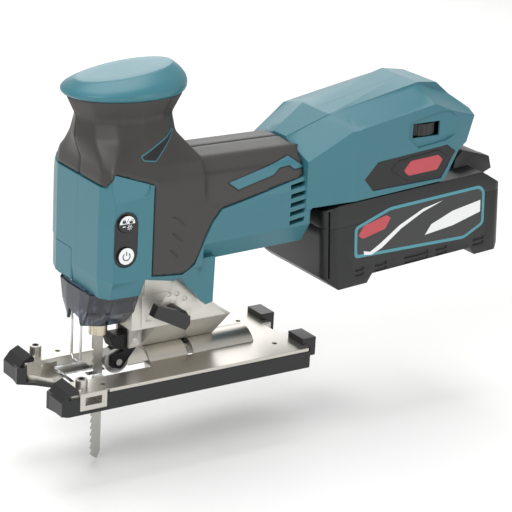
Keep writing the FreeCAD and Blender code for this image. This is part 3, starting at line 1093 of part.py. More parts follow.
def controls(key, side):
    """The switch panel with its two buttons and the board behind, on one side."""
    def between(near, far):
        """Low and high Y for a slab from near to far outward of the panel's plane."""
        return (f"-({far})", f"-({near})") if side < 0 else (near, far)

    low, high = between("-2.2", "0.2")
    plate = prism(f"panel_plate_{key}", "XZ", low, high, stadium("panel_half", "panel_tall"))
    holes = [cylinder(f"panel_bore_{key}_{turn}", "Y", ("0", "-10", f"{sign} * button_pitch / 2"),
                      "button_r + gap", "20") for turn, sign in enumerate((-1, 1))]
    node(f"switch_panel_{key}", panel_place(f"panel_set_{key}", cut(
        f"panel_cut_{key}", plate, *holes), side))
    for turn, (name, sign) in enumerate((("power_button", -1), ("lock_button", 1))):
        low = "-0.9" if side < 0 else "-3.4"
        button = cylinder(f"{name}_disc_{key}", "Y", ("0", low, f"{sign} * button_pitch / 2"),
                          "button_r", "4.3")
        node(f"{name}_{key}", panel_place(f"{name}_set_{key}", button, side))
    low, high = between("-6.1", "-4.5")
    board = prism(f"board_{key}", "XZ", low, high,
                  stadium("panel_half - 0.3", "panel_tall - 0.6"))
    low, high = between("-4.6", "-2.2")
    post = box(f"board_post_{key}", ("-4", low, "-1.2"), ("4", high, "1.2"))
    node(f"switch_board_{key}", panel_place(f"board_set_{key}", fuse(
        f"board_solid_{key}", board, post), side))


# ---- the whole tool ----------------------------------------------------------------------------

def check_document():
    """Stops if any object failed or any node has no valid shape."""
    DOC.recompute()
    faults = [f"{thing.Label}: {thing.State}" for thing in DOC.Objects
              if "Invalid" in thing.State or "Error" in thing.State]
    faults += [label for label, thing in NODES.items()
               if thing.Shape.isNull() or not thing.Shape.isValid()]
    if faults:
        print("failed:", *faults, sep="\n  ")
        sys.exit(1)


def write_nodes():
    os.makedirs("parts", exist_ok=True)
    for label, thing in NODES.items():
        thing.Shape.exportStep(f"parts/{label}.step")
        bounds = thing.Shape.optimalBoundingBox(False)
        print(f"{label:24} solids {len(thing.Shape.Solids):2} volume {thing.Shape.Volume:10.1f}"
              f"  x {bounds.XMin:7.1f} {bounds.XMax:7.1f}  y {bounds.YMin:6.1f}"
              f" {bounds.YMax:6.1f}  z {bounds.ZMin:6.1f} {bounds.ZMax:6.1f}")


def main():
    fill_sheet()
    for key, side in SIDES.items():
        housing_half("housing_" + key, side)
        controls(key, side)
    knob()
    battery()
    rear_fittings()
    gear_case()
    crank_and_motor()
    rod_and_blade()
    roller_arm()
    base()
    guards()
    levers()
    check_document()
    write_nodes()


main()
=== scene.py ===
"""Looks of a cordless body-grip jigsaw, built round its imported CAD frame, in metres."""

import json
import logging
import math
from dataclasses import dataclass
from enum import Enum
from typing import Callable, Iterable, Sequence

import bpy
from mathutils import Matrix, Vector

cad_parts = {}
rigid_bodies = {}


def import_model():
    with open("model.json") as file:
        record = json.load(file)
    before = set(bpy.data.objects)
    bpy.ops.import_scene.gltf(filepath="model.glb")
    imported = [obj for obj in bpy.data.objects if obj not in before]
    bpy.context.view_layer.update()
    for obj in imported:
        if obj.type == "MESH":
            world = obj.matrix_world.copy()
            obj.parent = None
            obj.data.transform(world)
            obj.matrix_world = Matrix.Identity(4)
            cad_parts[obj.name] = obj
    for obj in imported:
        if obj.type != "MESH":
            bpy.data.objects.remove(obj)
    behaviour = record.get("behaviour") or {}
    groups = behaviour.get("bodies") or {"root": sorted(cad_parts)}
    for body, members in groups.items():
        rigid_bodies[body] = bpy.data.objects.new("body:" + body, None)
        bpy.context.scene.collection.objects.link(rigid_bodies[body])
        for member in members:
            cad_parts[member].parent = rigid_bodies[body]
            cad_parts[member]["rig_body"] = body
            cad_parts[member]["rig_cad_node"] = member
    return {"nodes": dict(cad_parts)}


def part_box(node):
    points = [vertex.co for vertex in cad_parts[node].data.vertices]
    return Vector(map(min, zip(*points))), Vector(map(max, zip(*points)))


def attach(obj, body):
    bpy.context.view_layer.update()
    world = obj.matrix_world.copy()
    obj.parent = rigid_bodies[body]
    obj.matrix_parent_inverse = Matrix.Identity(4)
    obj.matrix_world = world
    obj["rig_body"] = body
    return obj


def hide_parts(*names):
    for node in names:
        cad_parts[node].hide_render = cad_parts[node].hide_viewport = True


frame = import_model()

LOG = logging.getLogger("jigsaw")
MM = 0.001
Point = tuple[float, float]


class Side(Enum):
    """The tool's two sides, by the sign of Y."""

    LEFT = -1
    RIGHT = 1

    @property
    def key(self) -> str:
        """The word that ends the names of this side's pieces."""
        return self.name.lower()


class Plane(Enum):
    """The plane that an outline is drawn in; the third axis is the way it is raised."""

    XY = (0, 1, 2)
    XZ = (0, 2, 1)
    YZ = (1, 2, 0)


# ---- materials --------------------------------------------------------------------


def linear(code: str) -> tuple[float, float, float, float]:
    """Turns an sRGB hex colour into linear light.

    Args:
        code: Six hex digits, red first.

    Returns:
        Linear red, green, blue and an alpha of one.
    """
    parts = [int(code[at:at + 2], 16) / 255 for at in (0, 2, 4)]
    light = [v / 12.92 if v <= 0.04045 else ((v + 0.055) / 1.055) ** 2.4 for v in parts]
    return (*light, 1.0)


def add_node(tree: bpy.types.NodeTree, kind: str, values: dict | None = None,
             links: dict | None = None, **settings: object) -> bpy.types.Node:
    """Adds one shader node with its settings, socket values and incoming links.

    Args:
        tree: The material's node tree.
        kind: The node's Blender type name.
        values: Input socket values by socket name or index.
        links: Output sockets to link, by input socket name or index.
        settings: Attributes of the node itself.

    Returns:
        The new node.
    """
    node = tree.nodes.new(kind)
    for key, value in settings.items():
        setattr(node, key, value)
    for key, value in (values or {}).items():
        node.inputs[key].default_value = value
    for key, socket in (links or {}).items():
        tree.links.new(socket, node.inputs[key])
    return node


@dataclass(frozen=True)
class Finish:
    """A surface: its colour, gloss, the grain that its tool left, and its softened edges."""

    name: str
    colour: str
    roughness: float = 0.5
    metallic: float = 0.0
    ior: float = 1.5
    grain_mm: float = 0.7
    grain_depth_mm: float = 0.015
    mottle: float = 0.12
    edge_mm: float = 0.5
    coat: float = 0.0

    def base(self) -> tuple[bpy.types.NodeTree, bpy.types.Node, bpy.types.Node]:
        """Makes the material with its shader and the object coordinates in metres.

        Returns:
            The node tree, the Principled shader and the coordinate node.
        """
        material = bpy.data.materials.new(self.name)
        material.use_nodes = True
        tree = material.node_tree
        tree.nodes.clear()
        shader = add_node(tree, "ShaderNodeBsdfPrincipled", {
            "Base Color": linear(self.colour), "Roughness": self.roughness,
            "Metallic": self.metallic, "IOR": self.ior, "Coat Weight": self.coat,
            "Coat Roughness": 0.12})
        add_node(tree, "ShaderNodeOutputMaterial", links={"Surface": shader.outputs[0]})
        place = add_node(tree, "ShaderNodeTexCoord")
        return tree, shader, place

    def grain(self, tree: bpy.types.NodeTree, place: bpy.types.Node) -> bpy.types.Node:
        """The height pattern of the surface, as a texture node.

        Args:
            tree: The material's node tree.
            place: The coordinate node.

        Returns:
            The texture node.
        """
        return add_node(tree, "ShaderNodeTexNoise", {
            "Scale": 1 / (self.grain_mm * MM), "Detail": 2.0, "Roughness": 0.6},
            {"Vector": place.outputs["Object"]})

    def finish_off(self, tree: bpy.types.NodeTree, shader: bpy.types.Node,
                   place: bpy.types.Node) -> None:
        """Adds grain, softened edges, and slow changes of colour and gloss.

        Args:
            tree: The material's node tree.
            shader: The Principled shader.
            place: The coordinate node.
        """
        bevel = add_node(tree, "ShaderNodeBevel", {"Radius": self.edge_mm * MM}, samples=4)
        bump = add_node(tree, "ShaderNodeBump", {"Distance": self.grain_depth_mm * MM,
                                                 "Strength": 1.0},
                        {"Height": self.grain(tree, place).outputs[0],
                         "Normal": bevel.outputs[0]})
        tree.links.new(bump.outputs[0], shader.inputs["Normal"])
        drift = add_node(tree, "ShaderNodeTexNoise", {"Scale": 45.0, "Detail": 3.0},
                         {"Vector": place.outputs["Object"]})
        dark, light = [tuple(min(1.0, c * k) for c in linear(self.colour)[:3]) + (1.0,)
                       for k in (1 - self.mottle, 1 + self.mottle)]
        tint = add_node(tree, "ShaderNodeMix", links={0: drift.outputs[0]}, data_type="RGBA")
        tint.inputs[6].default_value, tint.inputs[7].default_value = dark, light
        tree.links.new(tint.outputs[2], shader.inputs["Base Color"])
        gloss = add_node(tree, "ShaderNodeMapRange", {
            "To Min": max(0.02, self.roughness - 0.05), "To Max": min(1, self.roughness + 0.05)},
            {"Value": drift.outputs[0]})
        tree.links.new(gloss.outputs[0], shader.inputs["Roughness"])

    def material(self) -> bpy.types.Material:
        """The finished material, made once.

        Returns:
            The material.
        """
        if self.name not in bpy.data.materials:
            self.finish_off(*self.base())
        return bpy.data.materials[self.name]

    def dress(self, *things: bpy.types.Object) -> None:
        """Gives whole objects this finish.

        Args:
            things: The objects.
        """
        for thing in things:
            thing.data.materials.clear()
            thing.data.materials.append(self.material())


@dataclass(frozen=True)
class MilledMetal(Finish):
    """Metal with fine straight tool marks along X."""

    lines_mm: float = 0.9

    def grain(self, tree: bpy.types.NodeTree, place: bpy.types.Node) -> bpy.types.Node:
        """Stretched noise: long along X, fine across it.

        Args:
            tree: The material's node tree.
            place: The coordinate node.

        Returns:
            The texture node.
        """
        across = 1 / (self.lines_mm * MM)
        stretch = add_node(tree, "ShaderNodeMapping", links={"Vector": place.outputs["Object"]})
        stretch.inputs["Scale"].default_value = (across * 0.03, across, across)
        return add_node(tree, "ShaderNodeTexNoise", {"Scale": 1.0, "Detail": 3.0},
                        {"Vector": stretch.outputs[0]})


@dataclass(frozen=True)
class ClearMoulding(Finish):
    """Transparent moulded plastic, tinted in its thickness."""

    def finish_off(self, tree: bpy.types.NodeTree, shader: bpy.types.Node,
                   place: bpy.types.Node) -> None:
        """Adds the light that passes through, and soft flow ripples.

        Args:
            tree: The material's node tree.
            shader: The Principled shader.
            place: The coordinate node.
        """
        shader.inputs["Transmission Weight"].default_value = 1.0
        bevel = add_node(tree, "ShaderNodeBevel", {"Radius": self.edge_mm * MM}, samples=4)
        bump = add_node(tree, "ShaderNodeBump", {"Distance": self.grain_depth_mm * MM},
                        {"Height": self.grain(tree, place).outputs[0],
                         "Normal": bevel.outputs[0]})
        tree.links.new(bump.outputs[0], shader.inputs["Normal"])


# Glass-filled nylon, spark-textured mould: a satin blue-green with a broad soft highlight.
CASING = Finish("casing_nylon_satin", "36707c", 0.36, grain_mm=0.8, grain_depth_mm=0.012,
                mottle=0.05, edge_mm=0.7)
# The same nylon from a polished mould, on the knob: a tighter highlight.
KNOB = Finish("knob_nylon_polished", "37737f", 0.33, grain_mm=1.2, grain_depth_mm=0.006,
              mottle=0.04, edge_mm=0.8)
# Thermoplastic elastomer moulded over the nylon: dark warm grey, dull, finely pitted.
GRIP = Finish("grip_elastomer_overmould", "353331", 0.45, ior=1.5, grain_mm=0.7,
              grain_depth_mm=0.03, mottle=0.12, edge_mm=0.9)
# Black nylon from a fine-textured mould: battery shells, base cover, terminal parts.
BLACK = Finish("black_nylon_textured", "111213", 0.36, grain_mm=0.7, grain_depth_mm=0.02,
               mottle=0.15, edge_mm=0.8)
# Black acetal, smooth and slightly waxy: levers, wheels and buttons.
ACETAL = Finish("black_acetal_smooth", "1f1f20", 0.34, grain_mm=1.0, grain_depth_mm=0.006,
                mottle=0.08, edge_mm=0.5)
# Magnesium die casting, shot-blasted: a pale warm grey with fine pits.
CASTING = Finish("cast_magnesium_blasted", "cfccc4", 0.42, 0.75, grain_mm=0.9,
                 grain_depth_mm=0.03, mottle=0.08, edge_mm=0.6)
# Pressed aluminium plate, nickel-plated: bright, with long rolling marks.
PLATE = MilledMetal("base_plate_nickel_plated", "c6c2ba", 0.32, 0.9, grain_depth_mm=0.012,
                    mottle=0.06, edge_mm=0.5)
# Ground steel: pins, roller, shafts.
STEEL = MilledMetal("ground_steel", "c9c9c8", 0.24, 1.0, grain_depth_mm=0.006, mottle=0.06,
                    edge_mm=0.3)
# Spring steel strip, ground and set: the blade's bluish grey.
BLADE = MilledMetal("blade_steel_ground", "b4b3af", 0.3, 0.95, lines_mm=0.5,
                    grain_depth_mm=0.01, mottle=0.12, edge_mm=0.15)
# Nickel-plated clamp: a warm champagne tone.
NICKEL = Finish("clamp_nickel_plated", "c9c1ac", 0.26, 1.0, grain_mm=1.2,
                grain_depth_mm=0.004, mottle=0.06, edge_mm=0.4)
# Black-oxided steel: nearly black with a dull metal sheen.
OXIDE = Finish("black_oxide_steel", "333335", 0.38, 0.9, grain_mm=0.8, grain_depth_mm=0.012,
               mottle=0.15, edge_mm=0.4)
# Smoked polycarbonate: grey-blue and clear.
SMOKED = ClearMoulding("smoked_polycarbonate", "4c566a", 0.07, ior=1.58, grain_mm=9.0,
                       grain_depth_mm=0.15, edge_mm=0.6)
# Clear polycarbonate of the splinter insert.
CLEAR = ClearMoulding("clear_polycarbonate", "f2f6f8", 0.04, ior=1.58, grain_mm=8.0,
                      grain_depth_mm=0.05, edge_mm=0.4)
# Screen-printed inks on film and on the switch face.
INK_WHITE = Finish("ink_white_printed", "e8eaea", 0.4, grain_mm=0.5, grain_depth_mm=0.003,
                   mottle=0.02, edge_mm=0.1)
INK_TEAL = Finish("ink_teal_printed", "4a909c", 0.38, grain_mm=0.5, grain_depth_mm=0.003,
                  mottle=0.03, edge_mm=0.1)
INK_RED = Finish("ink_red_printed", "b8474f", 0.36, grain_mm=0.5, grain_depth_mm=0.003,
                 mottle=0.03, edge_mm=0.1)
FILM = Finish("label_film_charcoal", "1b1c1d", 0.3, grain_mm=0.5, grain_depth_mm=0.004,
              mottle=0.05, edge_mm=0.1, coat=0.4)
# Enamelled copper winding and sintered bronze, hidden in the casing.
COPPER = MilledMetal("enamelled_copper_wire", "b0623a", 0.3, 0.9, grain_depth_mm=0.08)
BRONZE = Finish("sintered_bronze", "9a7b45", 0.5, 0.9, grain_mm=0.6, grain_depth_mm=0.02)
BOARD = Finish("solder_mask_green", "1f5a36", 0.35, grain_mm=0.8, grain_depth_mm=0.02)
CELL = Finish("cell_sleeve_film", "5d8aa8", 0.3, grain_mm=2.0, grain_depth_mm=0.01)


# ---- bench: mesh work ----------------------------------------------------------------


def alone(thing: bpy.types.Object) -> bpy.types.Object:
    """Selects one object only and makes it active.

    Args:
        thing: The object.

    Returns:
        The same object.
    """
    bpy.ops.object.select_all(action="DESELECT")
    thing.select_set(True)
    bpy.context.view_layer.objects.active = thing
    return thing


def edit(thing: bpy.types.Object, work: Callable[[], None], mode: str = "VERT") -> None:
    """Runs operators in edit mode with the whole mesh selected.

    Args:
        thing: The mesh object.
        work: The operators to run.
        mode: The kind of element that is selected.
    """
    alone(thing)
    bpy.ops.object.mode_set(mode="EDIT")
    bpy.ops.mesh.select_mode(type=mode)
    bpy.ops.mesh.select_all(action="SELECT")
    work()
    bpy.ops.object.mode_set(mode="OBJECT")


def modify(thing: bpy.types.Object, kind: str, **settings: object) -> bpy.types.Object:
    """Adds a modifier and applies it.

    Args:
        thing: The mesh object.
        kind: The modifier's type name.
        settings: Its settings.

    Returns:
        The same object.
    """
    alone(thing)
    bpy.ops.object.modifier_add(type=kind)
    modifier = thing.modifiers[-1]
    for key, value in settings.items():
        setattr(modifier, key, value)
    bpy.ops.object.modifier_apply(modifier=modifier.name)
    return thing


def soften(thing: bpy.types.Object, angle: float = 30) -> bpy.types.Object:
    """Shades smooth, keeping the sharper edges.

    Args:
        thing: The mesh object.
        angle: The angle, in degrees.

    Returns:
        The same object.
    """
    alone(thing)
    bpy.ops.object.shade_smooth_by_angle(angle=math.radians(angle))
    return thing


def carve(thing: bpy.types.Object, *tools: bpy.types.Object,
          how: str = "DIFFERENCE") -> bpy.types.Object:
    """Cuts, joins or crosses an object with tools, which are used up.

    Args:
        thing: The object to change.
        tools: Closed solids.
        how: DIFFERENCE, UNION or INTERSECT.

    Returns:
        The same object.
    """
    for tool in tools:
        modify(thing, "BOOLEAN", operation=how, object=tool, solver="EXACT")
        bpy.data.objects.remove(tool)
    return thing


def prism(name: str, plane: Plane, low: float, high: float,
          outline: Sequence[Point]) -> bpy.types.Object:
    """Raises an outline between two heights.

    Args:
        name: The object's name.
        plane: The plane that the outline is drawn in.
        low: Where the solid starts along the plane's own axis, in millimetres.
        high: Where it ends.
        outline: Its corners in order, in millimetres.

    Returns:
        A closed solid.
    """
    bpy.ops.object.select_all(action="DESELECT")
    bpy.ops.mesh.primitive_circle_add(vertices=len(outline), fill_type="NGON")
    thing = bpy.context.active_object
    thing.name = thing.data.name = name
    one, two, out = plane.value
    for vertex, point in zip(thing.data.vertices, outline):
        spot = [0.0, 0.0, 0.0]
        spot[one], spot[two], spot[out] = point[0] * MM, point[1] * MM, low * MM
        vertex.co = spot
    way = [0.0, 0.0, 0.0]
    way[out] = (high - low) * MM

    def raise_up() -> None:
        """Extrudes the face and points the normals outwards."""
        bpy.ops.mesh.extrude_region_move(TRANSFORM_OT_translate={"value": way})
        bpy.ops.mesh.select_all(action="SELECT")
        bpy.ops.mesh.normals_make_consistent(inside=False)

    edit(thing, raise_up, "FACE")
    return thing


def rings(name: str, centre: Vector, levels: Iterable[tuple[float, float, float]],
          count: int = 64) -> bpy.types.Object:
    """Stacks elliptical rings into one closed, turned-looking solid.

    Args:
        name: The object's name.
        centre: The axis, in millimetres.
        levels: Height, half length and half width of each ring, in millimetres.
        count: Corners in each ring.

    Returns:
        A closed solid.
    """
    levels = list(levels)
    bpy.ops.object.select_all(action="DESELECT")
    height, along, across = levels[0]
    bpy.ops.mesh.primitive_circle_add(vertices=count, fill_type="NGON", radius=1,
                                      location=(centre.x * MM, centre.y * MM, height * MM))
    thing = bpy.context.active_object
    thing.name = thing.data.name = name
    thing.scale = (along * MM, across * MM, 1)
    settle(thing)

    def stack() -> None:
        """Extrudes and scales ring by ring."""
        for before, after in zip(levels, levels[1:]):
            bpy.ops.mesh.extrude_region_move(
                TRANSFORM_OT_translate={"value": (0, 0, (after[0] - before[0]) * MM)})
            bpy.ops.transform.resize(value=(after[1] / before[1], after[2] / before[2], 1),
                                     center_override=centre * MM)
        bpy.ops.mesh.select_all(action="SELECT")
        bpy.ops.mesh.normals_make_consistent(inside=False)

    edit(thing, stack, "FACE")
    return thing


def settle(thing: bpy.types.Object) -> bpy.types.Object:
    """Moves an object's place, turn and scale into its mesh.

    Args:
        thing: The mesh object.

    Returns:
        The same object.
    """
    alone(thing)
    bpy.ops.object.transform_apply(location=True, rotation=True, scale=True)
    return thing


def turn(thing: bpy.types.Object, matrix: Matrix) -> bpy.types.Object:
    """Moves a mesh.

    Args:
        thing: The mesh object.
        matrix: The move, in metres.

    Returns:
        The same object.
    """
    thing.data.transform(matrix)
    thing.data.update()
    return thing


def copy_of(node: str, name: str, flat: float = 1.0) -> bpy.types.Object:
    """A merged copy of a CAD node, to be worked on as a piece of its own.

    Args:
        node: The CAD node.
        name: The new piece's name.
        flat: Faces that lie within this many degrees of each other become one.

    Returns:
        The copy, which rides on nothing yet.
    """
    alone(frame["nodes"][node])
    bpy.ops.object.duplicate()
    thing = bpy.context.active_object
    thing.parent = None
    thing.name = thing.data.name = name
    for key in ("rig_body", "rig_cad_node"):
        if key in thing:
            del thing[key]

    def merge() -> None:
        """Welds the loose triangles and clears flat edges."""
        bpy.ops.mesh.remove_doubles(threshold=2e-6)
        if flat:
            bpy.ops.mesh.dissolve_limited(angle_limit=math.radians(flat))

    edit(thing, merge)
    return thing


def patch(source: bpy.types.Object, name: str, plane: Plane, low: float, high: float,
          outline: Sequence[Point], lift_mm: float) -> bpy.types.Object:
    """A skin that follows a piece's surface inside an outline, a little proud of it.

    Args:
        source: The piece whose surface is followed.
        name: The new piece's name.
        plane: The plane that the outline is drawn in.
        low: Where the outline's reach starts, in millimetres.
        high: Where it ends.
        outline: Its corners, in millimetres.
        lift_mm: How far the skin stands proud.

    Returns:
        A closed solid.
    """
    alone(source)
    bpy.ops.object.duplicate()
    skin = bpy.context.active_object
    skin.parent = None
    skin.name = skin.data.name = name
    for key in [key for key in skin.keys() if key.startswith("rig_")]:
        del skin[key]
    modify(skin, "DISPLACE", strength=lift_mm * MM, mid_level=0.0)
    carve(skin, prism(name + "_reach", plane, low, high, outline), how="INTERSECT")
    return skin


def round_outline(outline: Sequence[Point], radius: float, steps: int = 4) -> list[Point]:
    """Rounds every corner of an outline.

    Args:
        outline: Corners in order.
        radius: How far from each corner the rounding starts.
        steps: Points in each rounding.

    Returns:
        The rounded outline.
    """
    done: list[Point] = []
    count = len(outline)
    for at, here in enumerate(outline):
        here = Vector(here)
        before, after = (Vector(outline[(at + step) % count]) for step in (-1, 1))
        reach = min(radius, (before - here).length / 2.2, (after - here).length / 2.2)
        start = here + (before - here).normalized() * reach
        end = here + (after - here).normalized() * reach
        for step in range(steps + 1):
            t = step / steps
            spot = start * (1 - t) ** 2 + here * 2 * t * (1 - t) + end * t ** 2
            done.append((spot.x, spot.y))
    return done


def disc(centre: Point, radius: float, start: float = 0, end: float = 360,
         count: int = 32) -> list[Point]:
    """Points on a circle or an arc.

    Args:
        centre: The circle's centre.
        radius: Its radius.
        start: The angle of the first point, in degrees.
        end: The angle of the last point.
        count: Steps along the arc.

    Returns:
        The points in order.
    """
    steps = count if end - start == 360 else count + 1
    return [(centre[0] + radius * math.cos(math.radians(start + (end - start) * k / count)),
             centre[1] + radius * math.sin(math.radians(start + (end - start) * k / count)))
            for k in range(steps)]


def bow(centre: Point, radius: float, width: float, start: float, end: float) -> list[Point]:
    """The outline of a curved bar of even width.

    Args:
        centre: The curve's centre.
        radius: Its radius at mid-width.
        width: The bar's width.
        start: The first angle, in degrees.
        end: The last angle.

    Returns:
        The outline's corners.
    """
    return disc(centre, radius + width / 2, start, end, 20) + disc(
        centre, radius - width / 2, start, end, 20)[::-1]


def bar(start: Point, end: Point, width: float) -> list[Point]:
    """The outline of a straight bar.

    Args:
        start: The middle of one end.
        end: The middle of the other end.
        width: The bar's width.

    Returns:
        The outline's corners.
    """
    one, two = Vector(start), Vector(end)
    across = Vector((one.y - two.y, two.x - one.x)).normalized() * width / 2
    return [tuple(one + across), tuple(two + across), tuple(two - across), tuple(one - across)]


def join(name: str, *things: bpy.types.Object) -> bpy.types.Object:
    """Joins separate solids into one object.

    Args:
        name: The joined object's name.
        things: The solids, the first of which stays.

    Returns:
        The joined object.
    """
    alone(things[0])
    for thing in things[1:]:
        thing.select_set(True)
    if len(things) > 1:
        bpy.ops.object.join()
    things[0].name = things[0].data.name = name
    return things[0]


def seat(thing: bpy.types.Object, finish: Finish, body: str, slot: str,
         *nodes: str) -> bpy.types.Object:
    """Dresses a finished piece, sets it riding and logs it.

    Args:
        thing: The piece.
        finish: What its surface is.
        body: The body it moves with.
        slot: The record's material slot; not used.
        nodes: CAD nodes that it stands for.

    Returns:
        The same piece.
    """
    finish.dress(thing)
    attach(thing, body)
    if nodes:
        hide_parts(*nodes)
    LOG.info("%s rides on %s", thing.name, body)
    return thing


# ---- sub-assemblies ----------------------------------------------------------------------


@dataclass
class Casing:
    """Two moulded halves: the head column, the barrel and the rear housing."""

    octagon: tuple[Point, ...] = ((194.8, 141.8), (195.2, 150.4), (199, 152.8), (221, 156.8),
                                  (227, 155.8), (234.8, 149.9), (234.5, 141.2), (224.6, 137),
                                  (203, 134.4))
    crease: tuple[Point, ...] = ((-24, 118.9), (-7, 124.2), (8.8, 129.2), (10.6, 133),
                                 (10.6, 150), (-24, 150))
    recess_y: Point = (-46, -37.3)
    facet_y: Point = (37.95, 52)
    facet_pivot: Point = (-7, 124.2)
    facet_run: Point = (16.5, 5.2)
    facet_lean: float = 16.0

    def build(self) -> None:
        """Makes both halves."""
        for side in Side:
            self.half(side)

    def half(self, side: Side) -> None:
        """Cuts the recesses into one half and dresses it.

        Args:
            side: Which side of the tool.
        """
        thing = copy_of("housing_" + side.key, "casing_" + side.key)
        if side is Side.LEFT:
            carve(thing, self.dial_recess())
        carve(thing, self.facet(side))
        soften(thing, 16)
        seat(thing, CASING, "housing", "housing_plastic", "housing_" + side.key)

    def dial_recess(self) -> bpy.types.Object:
        """The eight-sided sunk field round the speed dial's window."""
        return prism("octagon", Plane.XZ, *self.recess_y, self.octagon)

    def facet(self, side: Side) -> bpy.types.Object:
        """The sloping field above the crease on the head's side.

        Args:
            side: Which side of the tool.

        Returns:
            The tool to cut it with.
        """
        tool = prism("facet", Plane.XZ, *sorted(side.value * y for y in self.facet_y),
                     self.crease)
        x, z = self.facet_pivot
        pivot = Vector((x, side.value * self.facet_y[0], z)) * MM
        along = Vector((self.facet_run[0], 0, self.facet_run[1])).normalized()
        lean = Matrix.Rotation(math.radians(self.facet_lean * side.value), 4, along)
        return turn(tool, Matrix.Translation(pivot) @ lean @ Matrix.Translation(-pivot))


@dataclass
class Knob:
    """The polished cap of the palm knob."""

    centre: Vector = Vector((12.9, 0, 0))
    corners: int = 64
    levels: tuple[tuple[float, float, float, float], ...] = (
        (181.7, 37.0, 27.2, 0), (182.2, 37.9, 27.9, 0), (183.2, 38.6, 28.6, 0.5),
        (184.6, 39.0, 29.0, 1.2), (186.3, 38.9, 28.8, 2.2), (188.2, 37.9, 27.6, 3.4),
        (190.2, 35.8, 25.0, 4.6), (192.2, 33.2, 21.4, 5.8), (193.5, 31.2, 18.6, 6.5),
        (194.0, 30.2, 17.4, 6.9), (194.15, 28.6, 16.2, 6.9), (194.2, 20, 11, 6.9),
        (194.2, 8, 4.5, 6.9))

    def build(self) -> None:
        """Makes the cap, its rings leaning more and more towards the flat top."""
        cap = rings("knob_cap_shell", self.centre, [level[:3] for level in self.levels],
                    self.corners)
        for number, (height, _, _, lean) in enumerate(self.levels):
            first = number * self.corners
            for vertex in cap.data.vertices[first:first + self.corners]:
                vertex.co.z += (vertex.co.x - self.centre.x * MM) * math.tan(math.radians(lean))
        soften(cap, 22)
        seat(cap, KNOB, "housing", "housing_plastic", "knob_cap")


@dataclass
class Grip:
    """The elastomer skin over the head's top, the knob's waist and the barrel."""

    voxel_mm: float = 1.15
    slot: tuple[Point, ...] = ((7.5, 150.5), (9, 147.6), (17.5, 146.2), (36.5, 159.6),
                               (35.5, 161.2), (30, 159))
    inlay: tuple[Point, ...] = ((69.5, 126.4), (75.5, 121.8), (101.5, 127.4), (106, 131),
                                (113.5, 131.6), (116.5, 129), (124, 129.4), (114.8, 136.2))
    ridges: tuple[tuple[Point, Point, Point], ...] = (
        ((27.2, 112.8), (36.4, 106.6), (33.2, 111.2)), ((27.6, 102.4), (35.6, 96.2), (32.6, 100.6)),
        ((26.4, 92.4), (32.8, 86.9), (30.4, 90.6)))

    def build(self) -> None:
        """Makes both halves of the skin with their set-in accents and painted slot shade."""
        for side in Side:
            self.half(side)

    def half(self, side: Side) -> None:
        """Rounds one half of the skin, sets its accents in and paints shade into the slot.

        Args:
            side: Which side of the tool.
        """
        skin = copy_of("grip_" + side.key, "grip_skin_" + side.key)
        modify(skin, "REMESH", mode="VOXEL", voxel_size=self.voxel_mm * MM, adaptivity=0)
        modify(skin, "SMOOTH", factor=0.5, iterations=11)
        low, high = sorted((side.value * 12, side.value * 45))
        rim = patch(skin, "grip_slot_rim_" + side.key, Plane.XZ, low, high,
                    round_outline(self.slot, 1.2), 0.12)
        # Painted shade: a black patch stands proud over the slot's opening, in place of the dark that
        # falls inside it.
        slot_shade = patch(skin, "grip_slot_" + side.key, Plane.XZ, low, high,
                     self.shrink(self.slot, 0.8), 0.18)
        inlay = patch(skin, "grip_inlay_" + side.key, Plane.XZ, low, high,
                      round_outline(self.inlay, 0.6, 2), 0.35)
        edge = patch(skin, "grip_inlay_edge_" + side.key, Plane.XZ, low, high,
                     round_outline(self.shrink(self.inlay, -0.8), 0.8, 2), 0.12)
        for number, ridge in enumerate(self.ridges):
            rib = patch(skin, f"grip_rib_{number}_{side.key}", Plane.XZ, low, high,
                        self.rib(*ridge), 0.45)
            seat(soften(rib, 60), GRIP, "housing", "rubber")
        seat(soften(rim, 40), CASING, "housing", "housing_plastic")
        seat(soften(inlay, 40), CASING, "housing", "housing_plastic")
        # The black patch of painted shade over the slot.
        seat(soften(slot_shade, 40), BLACK, "housing", "black_plastic")
        seat(soften(edge, 40), BLACK, "housing", "black_plastic")
        seat(soften(skin, 60), GRIP, "housing", "rubber", "grip_" + side.key)

    @staticmethod
    def shrink(outline: Sequence[Point], by: float) -> list[Point]:
        """Moves every corner of an outline towards its middle line.

        Args:
            outline: Its corners in order.
            by: How far inwards, or outwards where negative.

        Returns:
            The moved corners.
        """
        count = len(outline)
        done = []
        turning = sum(a[0] * b[1] - b[0] * a[1] for a, b in zip(outline, (*outline[1:],
                                                                       outline[0])))
        for at, here in enumerate(outline):
            before, after = Vector(outline[at - 1]), Vector(outline[(at + 1) % count])
            one, two = (Vector(here) - before).normalized(), (after - Vector(here)).normalized()
            way = (Vector((-one.y, one.x)) + Vector((-two.y, two.x))) / max(0.5, 1 + one.dot(two))
            spot = Vector(here) + way * by * (1 if turning > 0 else -1)
            done.append((spot.x, spot.y))
        return done

    @staticmethod
    def rib(start: Point, end: Point, peak: Point) -> list[Point]:
        """A slim curved ridge between two points.

        Args:
            start: Where it starts.
            end: Where it ends.
            peak: The point that bends it.

        Returns:
            Its outline.
        """
        above, below = [], []
        for step in range(9):
            t = step / 8
            for row, rise in ((above, 0.55), (below, -0.55)):
                spot = [a * (1 - t) ** 2 + c * 2 * t * (1 - t) + b * t ** 2
                        for a, b, c in zip(start, end, peak)]
                row.append((spot[0] + rise * math.sin(math.pi * t) * 0.6,
                            spot[1] + rise * math.sin(math.pi * t)))
        return above + below[-2:0:-1]


